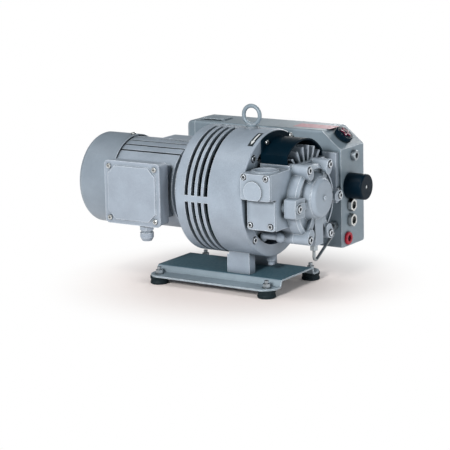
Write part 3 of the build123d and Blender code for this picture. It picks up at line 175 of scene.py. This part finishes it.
def enamel(name, base, grain_mm, relief, relief_mm, edge_mm, gap_mm=14.0, deep=0.30, top_shade=None, top_shade_z=0.0):
    """Blue-grey machine enamel: uneven tone, fine speckle, painted shade in the corners, painted highlights
    along sharp edges.
    The last two arguments give a darker colour, painted as shade, on everything above a height in mm."""
    g = Graph(name)
    tone = g.spread(g.noise(45, 3), 0.3, 0.7, 0.91, 1.08)
    speckle = g.spread(g.noise(grain_mm * 0.6, 2), 0.3, 0.7, 0.91, 1.09)
    # Painted shade: ambient occlusion darkens corners and creases down to the factor deep, in the tone and
    # through the dark teal mix below.
    crevice = g.spread(g.crevices(gap_mm), 0.25, 0.95, deep, 1.0)
    level = g.math("MULTIPLY", g.math("MULTIPLY", tone, speckle), crevice)
    ground = rgb(*base)
    # Painted shade: a darker colour on everything above the given height.
    if top_shade:
        ground = g.mix(g.above(top_shade_z), rgb(*base), rgb(*top_shade))
    # Painted shade colour laid into the corners.
    shaded = g.mix(crevice, rgb(*CREVICE_SHADE), ground)
    # Painted highlight: light colour along sharp edges, made patchy by noise and mixed over the painted
    # shade.
    edge_highlight = g.math("MULTIPLY", g.edges(EDGE_HIGHLIGHT_MM), g.spread(g.noise(7, 3), 0.35, 0.65, 0.45, 1.0))
    varied_tone = g.mix(edge_highlight, shaded, rgb(*EDGE_HIGHLIGHT))
    color = g.mix(1.0, varied_tone, level, "MULTIPLY")
    fine_peel = g.math("ADD", g.cells(grain_mm), g.noise(grain_mm * 0.35, 2))
    peel = g.math("ADD", fine_peel, g.noise(grain_mm * 4, 3))
    normal = g.bump(peel, relief, relief_mm, g.round_edges(edge_mm))
    rough = g.spread(g.noise(6, 2), 0.3, 0.7, 0.40, 0.54)
    return g.finish(color, rough, normal, metallic=0.1, Coat_Weight=0.12, Coat_Roughness=0.3)


def cast_paint(name, base, grain_mm=2.6, relief=0.35, edge_mm=0.8):
    """Enamel on rough castings."""
    return enamel(name, base, grain_mm, relief, 0.25, edge_mm)


def sheet_paint(name, base, top_shade=None, top_shade_z=0.0):
    """Enamel on smooth sheet metal."""
    return enamel(name, base, 1.6, 0.12, 0.12, 0.6, gap_mm=6.0, deep=0.45, top_shade=top_shade, top_shade_z=top_shade_z)


def bare_metal(name, base, roughness, grain_mm=1.4, stretch=(1.0, 1.0, 1.0), edge_mm=0.5, gap_mm=5.0):
    """Machined or plated metal with streaks, slight staining and painted shade that goes nearly black in
    recesses and sockets.
    """
    g = Graph(name)
    streak = g.noise(grain_mm, 4, 0.6, stretch)
    stain = g.spread(g.noise(14, 4, 0.6), 0.35, 0.75, 1.0, 0.82)
    level = g.math("MULTIPLY", g.spread(streak, 0.3, 0.7, 0.94, 1.05), stain)
    # Painted shade: recesses and sockets darkened nearly to black.
    crevice = g.spread(g.crevices(gap_mm), 0.35, 0.9, 0.03, 1.0)
    color = g.mix(1.0, rgb(*base), g.math("MULTIPLY", level, crevice), "MULTIPLY")
    normal = g.bump(streak, 0.10, 0.05, g.round_edges(edge_mm))
    rough = g.spread(streak, 0.25, 0.75, roughness - 0.06, roughness + 0.10)
    return g.finish(color, rough, normal, metallic=1.0)


def moulded(name, base, roughness, grain_mm=0.7, relief=0.25, gloss=0.5):
    """Moulded plastic with a fine eroded grain."""
    g = Graph(name)
    tone = g.spread(g.noise(25, 3), 0.3, 0.7, 0.88, 1.12)
    color = g.mix(1.0, rgb(*base), tone, "MULTIPLY")
    normal = g.bump(g.noise(grain_mm, 3), relief, 0.10, g.round_edges(0.8))
    rough = g.spread(g.noise(5, 3), 0.3, 0.7, roughness - 0.05, roughness + 0.08)
    return g.finish(color, rough, normal, Specular_IOR_Level=gloss)


def rubber_skin(name):
    """Dull black rubber with a little dust."""
    g = Graph(name)
    dust = g.spread(g.noise(7, 4, 0.6), 0.5, 0.85, 0.0, 0.25)
    color = g.mix(dust, rgb(0.004, 0.012, 0.016), rgb(0.05, 0.06, 0.06))
    normal = g.bump(g.noise(0.8, 3), 0.3, 0.12, g.round_edges(0.6))
    rough = g.spread(g.noise(4, 2), 0.3, 0.7, 0.62, 0.82)
    return g.finish(color, rough, normal, Specular_IOR_Level=0.25)


def winding_wire(name):
    """Lacquered copper turns packed side by side."""
    g = Graph(name)
    wave = g.node("ShaderNodeTexWave", wave_type="RINGS", rings_direction="X")
    wave.inputs["Scale"].default_value = 220.0
    wave.inputs["Distortion"].default_value = 1.5
    g.link(g.place, wave.inputs["Vector"])
    turns = wave.outputs["Fac"]
    color = g.mix(turns, rgb(0.16, 0.045, 0.02), rgb(0.62, 0.24, 0.09))
    normal = g.bump(turns, 0.6, 0.5)
    return g.finish(color, g.spread(turns, 0, 1, 0.45, 0.25), normal, metallic=0.9)


def laminated_steel(name):
    """Thin stacked sheets across the shaft axis."""
    g = Graph(name)
    wave = g.node("ShaderNodeTexWave", wave_type="BANDS", bands_direction="X")
    wave.inputs["Scale"].default_value = 330.0
    g.link(g.place, wave.inputs["Vector"])
    sheets = wave.outputs["Fac"]
    color = g.mix(sheets, rgb(0.10, 0.11, 0.13), rgb(0.33, 0.35, 0.38))
    return g.finish(color, g.spread(sheets, 0, 1, 0.6, 0.35), g.bump(sheets, 0.4, 0.2), metallic=0.9)


def fleece(name):
    """Wound filter fibre with a criss-cross of threads."""
    g = Graph(name)
    fibres = g.noise(1.1, 4, 0.7, (1.0, 4.0, 4.0))
    cloud = g.spread(g.noise(12, 3), 0.3, 0.7, 0.85, 1.05)
    color = g.mix(1.0, g.mix(fibres, rgb(0.62, 0.58, 0.46), rgb(0.90, 0.88, 0.80)), cloud, "MULTIPLY")
    return g.finish(color, 0.9, g.bump(fibres, 0.7, 0.5), Sheen_Weight=0.3)


def oil_glass(name):
    """Sight glass lens with dark oil behind it."""
    g = Graph(name)
    haze = g.noise(4, 3)
    color = g.mix(haze, rgb(0.002, 0.006, 0.007), rgb(0.012, 0.016, 0.014))
    return g.finish(color, 0.08, g.bump(haze, 0.05, 0.05), Coat_Weight=1.0, Coat_Roughness=0.03)


def printed(name, ground, mark, stripe_mm, share):
    """Printed label: plain ground with a few soft unlettered bands and a satin finish."""
    g = Graph(name)
    split = g.node("ShaderNodeSeparateXYZ")
    g.link(g.place, split.inputs["Vector"])
    phase = g.math("FRACT", g.math("MULTIPLY", split.outputs["Y"], 1.0 / (stripe_mm * MM)))
    band = g.math("LESS_THAN", phase, share)
    varied_tone = g.spread(g.noise(3, 3), 0.3, 0.7, 0.88, 1.05)
    color = g.mix(1.0, g.mix(band, rgb(*ground), rgb(*mark)), varied_tone, "MULTIPLY")
    return g.finish(color, g.spread(g.noise(8, 2), 0.3, 0.7, 0.35, 0.5), g.bump(g.noise(1, 2), 0.05, 0.05))


GREY = (0.288, 0.338, 0.400)
PLATE_GREY = (0.250, 0.312, 0.355)
# Painted shade for the base plate's web top, which lies under the pump and stands in for its shadow and
# dark reflection there; the height is in mm.
PLATE_WEB_SHADE = (0.070, 0.145, 0.185)
PLATE_WEB_TOP = 29.2
MATERIALS = {
    "casting": cast_paint("casting_enamel", GREY),
    "fine_casting": cast_paint("fine_casting_enamel", (0.300, 0.350, 0.410), grain_mm=1.8, relief=0.34),
    "sheet": sheet_paint("sheet_enamel", (0.290, 0.335, 0.395)),
    "tank": sheet_paint("tank_enamel", (0.205, 0.258, 0.300)),
    "cowl": sheet_paint("cowl_enamel", (0.232, 0.276, 0.325)),
    "plate": sheet_paint("base_plate_enamel", PLATE_GREY, PLATE_WEB_SHADE, PLATE_WEB_TOP),
    "black": moulded("black_plastic", (0.001, 0.009, 0.018), 0.40, gloss=0.10),
    "guide": moulded("air_guide_black", (0.001, 0.009, 0.017), 0.42, relief=0.15, gloss=0.04),
    "zinc": bare_metal("zinc_plate", (0.66, 0.67, 0.66), 0.28),
    "bolt": bare_metal("painted_bolt", (0.62, 0.66, 0.70), 0.34),
    "dull": bare_metal("dull_plate", (0.40, 0.44, 0.47), 0.42),
    "tube": bare_metal("steel_tube", (0.34, 0.37, 0.39), 0.30),
    # Near-black teal for the couplings inside the fan housing: a dark coated casting, darkened further as
    # painted shade for the housing's dark inside.
    "hidden": bare_metal("dark_casting_with_painted_shade", (0.030, 0.060, 0.070), 0.50),
    "steel": bare_metal("ground_steel", (0.48, 0.49, 0.51), 0.25, stretch=(6.0, 1.0, 1.0)),
    "aluminium": bare_metal("cast_aluminium", (0.62, 0.63, 0.64), 0.42, grain_mm=2.2),
    "iron": bare_metal("turned_iron", (0.26, 0.27, 0.28), 0.38, stretch=(8.0, 1.0, 1.0)),
    "rubber": rubber_skin("foot_rubber"),
    "copper": winding_wire("copper_turns"),
    "laminated": laminated_steel("laminated_sheets"),
    "vane": moulded("vane_composite", (0.10, 0.06, 0.03), 0.45, grain_mm=0.5),
    "red": moulded("red_plastic", (0.40, 0.012, 0.030), 0.38, relief=0.12, gloss=0.25),
    "lens": oil_glass("sight_lens"),
    "cap_grip": moulded("cap_grip_red", (0.12, 0.004, 0.026), 0.34, relief=0.12, gloss=0.25),
    "label_black": printed("label_black", (0.006, 0.012, 0.016), (0.012, 0.018, 0.022), 3.0, 0.5),
    "label_white": printed("label_white", (0.78, 0.80, 0.80), (0.72, 0.74, 0.75), 2.0, 0.5),
    "notice": printed("notice_red", (0.42, 0.10, 0.13), (0.36, 0.24, 0.27), 9.0, 0.35),
    "fleece": fleece("filter_fleece"),
}

NODE_MATERIALS = {
    "casting": "fan_housing motor_flange motor_frame motor_rear_shield",
    "fine_casting": "pump_cylinder head_cover hub_cap inlet_upper_cover inlet_lower_cover",
    "sheet": "terminal_box terminal_lid cable_gland",
    "tank": "separator_housing separator_rear_cover exhaust_cover eyebolt",
    "cowl": "motor_cowl",
    "plate": "base_plate",
    "black": "oil_filter filler_cap terminal_block motor_fan",
    "guide": "air_guide",
    "zinc": "motor_screws air_guide_screws sight_glass_bodies",
    "bolt": "cover_bolts housing_bolts inlet_screws motor_flange_bolts",
    "dull": "foot_studs foot_nuts top_plug pipe_fittings",
    "tube": "oil_pipe",
    "hidden": "pump_coupling motor_coupling",
    "steel": "motor_shaft bearing_inner_rings bearing_outer_rings bearing_balls inlet_spring exhaust_reeds",
    "aluminium": "motor_rotor_core inlet_valve",
    "iron": "rotor rear_plate",
    "rubber": "rubber_feet filler_seal",
    "copper": "stator_windings",
    "laminated": "stator_core",
    "vane": "vane_1 vane_2 vane_3 vane_4",
    "red": "drain_plug coupling_spider oil_float",
    "lens": "sight_glass_lenses",
    "fleece": "exhaust_filters",
}


def dress(node, material):
    """Gives every material slot of a CAD node the same material."""
    body = NODES[node]
    if not body.material_slots:
        body.data.materials.append(material)
    for slot in body.material_slots:
        slot.material = material


for look, names in NODE_MATERIALS.items():
    for node in names.split():
        if node in NODES:
            dress(node, MATERIALS[look])


# ---------------------------------------------------------------- pieces
def new_piece(name, mesh, material, body):
    """Turns a bmesh into a named object that moves with a CAD body."""
    data = bpy.data.meshes.new(name)
    mesh.to_mesh(data)
    mesh.free()
    data.materials.append(material)
    piece = bpy.data.objects.new(name, data)
    bpy.context.scene.collection.objects.link(piece)
    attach(piece, body)
    return piece


def add_sheet(mesh, outline, place, thickness):
    """Closed thin sheet: outline points in the sheet's own plane, placed by a function (u, v, height)."""
    low = [mesh.verts.new(place(u, v, 0.0)) for u, v in outline]
    high = [mesh.verts.new(place(u, v, thickness)) for u, v in outline]
    mesh.faces.new(list(reversed(low)))
    mesh.faces.new(high)
    count = len(outline)
    for index in range(count):
        after = (index + 1) % count
        mesh.faces.new((low[index], low[after], high[after], high[index]))


def rounded_outline(length, width, radius, steps=6):
    """Rectangle with rounded corners, counter-clockwise around the origin."""
    points = []
    corners = ((1, 1, 0), (-1, 1, 90), (-1, -1, 180), (1, -1, 270))
    for side_u, side_v, start in corners:
        for step in range(steps + 1):
            angle = math.radians(start + 90 * step / steps)
            u = side_u * (length / 2 - radius) + radius * math.cos(angle)
            v = side_v * (width / 2 - radius) + radius * math.sin(angle)
            points.append((u, v))
    return points


# Turning-direction label on the fan housing, in mm and degrees
SHAFT_Z = 180.0
HOUSING_R = 120.0
LABEL_X = 82.0
LABEL_ANGLE = 114.5
LABEL_HALF_LENGTH = 22
LABEL_HALF_WIDTH = 5.5
ARROW_TAIL = -18
ARROW_NECK = 8
ARROW_TIP = 18
ARROW_HALF_WIDTH = 1.6
HEAD_HALF_WIDTH = 3.6


def on_housing(u, v, height):
    """Point on the fan housing: u along the circumference, v along the shaft, all in mm."""
    angle = math.radians(LABEL_ANGLE) + u / HOUSING_R
    radius = HOUSING_R + height
    return Vector((LABEL_X + v, radius * math.cos(angle), SHAFT_Z + radius * math.sin(angle))) * MM


def add_band(mesh, u_start, u_end, v_low, v_high, rise, thickness, steps=16):
    """Thin strip wrapped on the fan housing; v_low and v_high give its edges at a share of its length."""
    rings = []
    for step in range(steps + 1):
        share = step / steps
        u = u_start + (u_end - u_start) * share
        low, high, top = v_low(share), v_high(share), rise + thickness
        corners = ((low, rise), (high, rise), (high, top), (low, top))
        rings.append([mesh.verts.new(on_housing(u, v, height)) for v, height in corners])
    for ring, after in zip(rings, rings[1:]):
        for side in range(4):
            following = (side + 1) % 4
            mesh.faces.new((ring[side], ring[following], after[following], after[side]))
    mesh.faces.new(list(reversed(rings[0])))
    mesh.faces.new(rings[-1])


def straight_edge(offset):
    """Edge of a strip that keeps the same offset over the strip's length."""
    return lambda share: offset


def closing_edge(offset):
    """Edge of a strip that runs in to a point at the strip's end."""
    return lambda share: offset * (1.02 - share)


def add_rotation_label():
    """Black curved label with a light arrow that shows the turning direction."""
    plate = bmesh.new()
    low, high = straight_edge(-LABEL_HALF_WIDTH), straight_edge(LABEL_HALF_WIDTH)
    add_band(plate, -LABEL_HALF_LENGTH, LABEL_HALF_LENGTH, low, high, rise=0.02, thickness=0.25)
    new_piece("rotation_label", plate, MATERIALS["label_black"], "frame")
    arrow = bmesh.new()
    low, high = straight_edge(-ARROW_HALF_WIDTH), straight_edge(ARROW_HALF_WIDTH)
    add_band(arrow, ARROW_TAIL, ARROW_NECK, low, high, rise=0.2, thickness=0.2)
    low, high = closing_edge(-HEAD_HALF_WIDTH), closing_edge(HEAD_HALF_WIDTH)
    add_band(arrow, ARROW_NECK + 0.05, ARROW_TIP, low, high, rise=0.2, thickness=0.2)
    new_piece("rotation_arrow", arrow, MATERIALS["label_white"], "frame")


# Notice on the separator's top
TANK_TOP = 282.0
NOTICE_X = 88.0
NOTICE_Y = 163.0
NOTICE_LENGTH = 84
NOTICE_WIDTH = 38


def add_tank_notice():
    """Unlettered red notice on the separator's top."""
    def on_tank(u, v, height):
        return Vector((NOTICE_X + u, NOTICE_Y + v, TANK_TOP + 0.02 + height)) * MM
    sheet = bmesh.new()
    add_sheet(sheet, rounded_outline(NOTICE_LENGTH, NOTICE_WIDTH, 3), on_tank, 0.3)
    new_piece("tank_notice", sheet, MATERIALS["notice"], "frame")


# Filler cap, along its own axis
CAP_PLACE = Vector((144.0, 165.0, 264.75))
CAP_AXIS = Vector((34.5, 0.0, 42.0)).normalized()
CAP_SIDE = Vector((0.0, 1.0, 0.0))
CAP_HEIGHT = 12.0
CAP_DISC_R = 13.0
GRIP_LOBES = 5
GRIP_INNER_R = 6.5
GRIP_OUTER_R = 12.0
GRIP_HUB_R = 3.2
GRIP_TOP = 2.1
DOT_R = 1.3
DOT_RING_R = 10.0
DOT_LOBES = (0, 2, 3)


def on_cap(u, v, height):
    """Point on the filler cap's face: u along +Y, v down the slope, in mm."""
    down = CAP_SIDE.cross(CAP_AXIS)
    return (CAP_PLACE + CAP_AXIS * (CAP_HEIGHT + height) + CAP_SIDE * u + down * v) * MM


def ring_points(radius, count, centre=(0.0, 0.0)):
    """Evenly spaced points on a circle."""
    turns = [2 * math.pi * index / count for index in range(count)]
    return [(centre[0] + radius * math.cos(turn), centre[1] + radius * math.sin(turn)) for turn in turns]


def lobed_outline(inner, outer, lobes, steps=72):
    """Round outline that waves between two radii."""
    points = []
    for step in range(steps):
        turn = 2 * math.pi * step / steps
        radius = (inner + outer) / 2 + (outer - inner) / 2 * math.cos(lobes * turn)
        points.append((radius * math.cos(turn), radius * math.sin(turn)))
    return points


def add_cap_insert():
    """Black disc in the filler cap with a raised dark red hand wheel and light dots on its lobes."""
    disc = bmesh.new()
    add_sheet(disc, ring_points(CAP_DISC_R, 48), lambda u, v, height: on_cap(u, v, height + 0.02), 0.5)
    new_piece("cap_insert", disc, MATERIALS["black"], "cap")
    grip = bmesh.new()
    outline = lobed_outline(GRIP_INNER_R, GRIP_OUTER_R, GRIP_LOBES)
    add_sheet(grip, outline, lambda u, v, height: on_cap(u, v, height + 0.5), GRIP_TOP - 0.5)
    new_piece("cap_grip", grip, MATERIALS["cap_grip"], "cap")
    hub = bmesh.new()
    add_sheet(hub, ring_points(GRIP_HUB_R, 32), lambda u, v, height: on_cap(u, v, height + GRIP_TOP), 0.5)
    new_piece("cap_hub", hub, MATERIALS["black"], "cap")
    dots = bmesh.new()
    for lobe in DOT_LOBES:
        turn = 2 * math.pi * lobe / GRIP_LOBES
        dot = ring_points(DOT_R, 20, (DOT_RING_R * math.cos(turn), DOT_RING_R * math.sin(turn)))
        add_sheet(dots, dot, lambda u, v, height: on_cap(u, v, height + GRIP_TOP - 0.02), 0.15)
    new_piece("cap_dots", dots, MATERIALS["label_white"], "cap")


# Separator's end face and the fittings on it
END_X = 165.0
DRAIN_Y = 147.0
DRAIN_Z = 72.0
# Painted shade: black hexagon over the drain plug's socket, radius in mm.
DRAIN_SOCKET_SHADE_R = 6.6
FILTER_Y = 156.0
FILTER_Z = 173.5
FILTER_DIMPLE = 35.0
# Painted highlight: light disc at the oil filter's centre, radius in mm.
FILTER_HIGHLIGHT_R = 3.2


def on_end_face(centre_y, centre_z, out):
    """Placing function for sheets on the separator's end face, out millimetres in front of it."""
    def place(u, v, height):
        return Vector((END_X + out + height, centre_y + u, centre_z + v)) * MM
    return place


def add_end_face_details():
    """Painted shade: black hexagon over the drain plug's socket. Painted highlight: light disc at the oil
    filter's centre.
    """
    socket_shade = bmesh.new()
    add_sheet(socket_shade, ring_points(DRAIN_SOCKET_SHADE_R, 6), on_end_face(DRAIN_Y, DRAIN_Z, 0.55), 0.4)
    new_piece("drain_socket_shade", socket_shade, MATERIALS["black"], "frame")
    # Painted highlight on the oil filter's end.
    mark = bmesh.new()
    front = on_end_face(FILTER_Y, FILTER_Z, FILTER_DIMPLE + 0.05)
    add_sheet(mark, ring_points(FILTER_HIGHLIGHT_R, 24), front, 1.6)
    new_piece("filter_highlight", mark, MATERIALS["label_white"], "frame")


add_rotation_label()
add_tank_notice()
add_cap_insert()
add_end_face_details()


# ---------------------------------------------------------------- stage
# The floor turns plain white between two distances from the middle, in metres
FLOOR_TINT = (0.95, 0.85, 0.81)
FADE_START = 0.12
FADE_END = 0.38
AMBIENT = 0.13
AMBIENT_TINT = (0.82, 0.95, 1.0, 1)


def add_stage():
    """Floor under the feet that fades into plain white away from the pump."""
    bpy.ops.mesh.primitive_plane_add(size=60)
    floor = bpy.context.object
    floor.name = "studio_floor"
    g = Graph("studio_floor")
    tone = g.spread(g.noise(400, 2), 0.3, 0.7, 0.985, 1.0)
    g.finish(g.mix(1.0, rgb(*FLOOR_TINT), tone, "MULTIPLY"), 0.9)
    white = g.node("ShaderNodeEmission")
    distance = g.node("ShaderNodeVectorMath", operation="LENGTH")
    g.link(g.place, distance.inputs[0])
    away = g.node("ShaderNodeMapRange", interpolation_type="SMOOTHSTEP")
    away.inputs["From Min"].default_value = FADE_START
    away.inputs["From Max"].default_value = FADE_END
    g.link(distance.outputs["Value"], away.inputs["Value"])
    fade = g.node("ShaderNodeMixShader")
    g.link(away.outputs["Result"], fade.inputs["Fac"])
    g.link(g.shader.outputs["BSDF"], fade.inputs[1])
    g.link(white.outputs["Emission"], fade.inputs[2])
    g.link(fade.outputs["Shader"], g.output.inputs["Surface"])
    floor.data.materials.append(g.material)


def add_world():
    """White surroundings, dimmer as a light than they look."""
    world = bpy.data.worlds.new("studio")
    bpy.context.scene.world = world
    world.use_nodes = True
    tree = world.node_tree
    tree.nodes.clear()
    output = tree.nodes.new("ShaderNodeOutputWorld")
    seen = tree.nodes.new("ShaderNodeBackground")
    seen.inputs["Color"].default_value = (1, 1, 1, 1)
    light = tree.nodes.new("ShaderNodeBackground")
    light.inputs["Color"].default_value = AMBIENT_TINT
    light.inputs["Strength"].default_value = AMBIENT
    path = tree.nodes.new("ShaderNodeLightPath")
    mix = tree.nodes.new("ShaderNodeMixShader")
    tree.links.new(path.outputs["Is Camera Ray"], mix.inputs["Fac"])
    tree.links.new(light.outputs["Background"], mix.inputs[1])
    tree.links.new(seen.outputs["Background"], mix.inputs[2])
    tree.links.new(mix.outputs["Shader"], output.inputs["Surface"])


def add_softbox(name, place, aim, size, power, tint=(1, 1, 1)):
    """Rectangular lamp at a place, turned towards the point it is aimed at."""
    light = bpy.data.lights.new(name, "AREA")
    light.shape = "RECTANGLE"
    light.size = size[0]
    light.size_y = size[1]
    light.energy = power
    light.color = tint
    holder = bpy.data.objects.new(name, light)
    holder.location = place
    holder.rotation_euler = (Vector(aim) - Vector(place)).to_track_quat("-Z", "Y").to_euler()
    bpy.context.scene.collection.objects.link(holder)


# Camera: where it looks, from which side and with which lens
VIEW_TARGET = Vector((-0.01595, 0.0, 0.180))
VIEW_AZIMUTH = math.radians(32.87)
VIEW_ELEVATION = math.radians(10.92)
VIEW_DISTANCE = 3.58212
VIEW_ROLL = math.radians(-1.19)
SENSOR_MM = 36.0
LENS_MM = 150.68
SHIFT_X = -0.0030
SHIFT_Y = -0.0826


def add_camera():
    """Camera a few metres away, seen from the inlet side and slightly above."""
    back = Vector((
        math.sin(VIEW_AZIMUTH) * math.cos(VIEW_ELEVATION),
        -math.cos(VIEW_AZIMUTH) * math.cos(VIEW_ELEVATION),
        math.sin(VIEW_ELEVATION),
    ))
    right = Vector((math.cos(VIEW_AZIMUTH), math.sin(VIEW_AZIMUTH), 0.0))
    up = back.cross(right)
    tilted_right = right * math.cos(VIEW_ROLL) + up * math.sin(VIEW_ROLL)
    tilted_up = up * math.cos(VIEW_ROLL) - right * math.sin(VIEW_ROLL)
    place = VIEW_TARGET + back * VIEW_DISTANCE
    lens = bpy.data.cameras.new("camera")
    lens.sensor_width = SENSOR_MM
    lens.lens = LENS_MM
    lens.shift_x = SHIFT_X
    lens.shift_y = SHIFT_Y
    lens.clip_end = 100.0
    camera = bpy.data.objects.new("camera", lens)
    turn = Matrix((tilted_right, tilted_up, back)).transposed().to_4x4()
    camera.matrix_world = Matrix.Translation(place) @ turn
    bpy.context.scene.collection.objects.link(camera)
    bpy.context.scene.camera = camera


add_stage()
add_world()
add_softbox("key_light", (0.35, -3.0, 1.50), (0, 0, 0.15), (0.7, 0.6), 92)
add_softbox("top_light", (-0.9, -0.9, 2.4), (0, 0, 0.1), (0.8, 0.8), 14, (1.0, 0.98, 0.95))
add_softbox("fill_light", (2.8, -0.4, 0.9), (0, 0, 0.2), (1.0, 1.4), 27, (0.93, 0.97, 1.0))
add_softbox("back_light", (-0.4, 3.0, 1.2), (0, 0, 0.3), (2.0, 0.8), 52)
add_camera()
bpy.context.scene.view_settings.view_transform = "Standard"
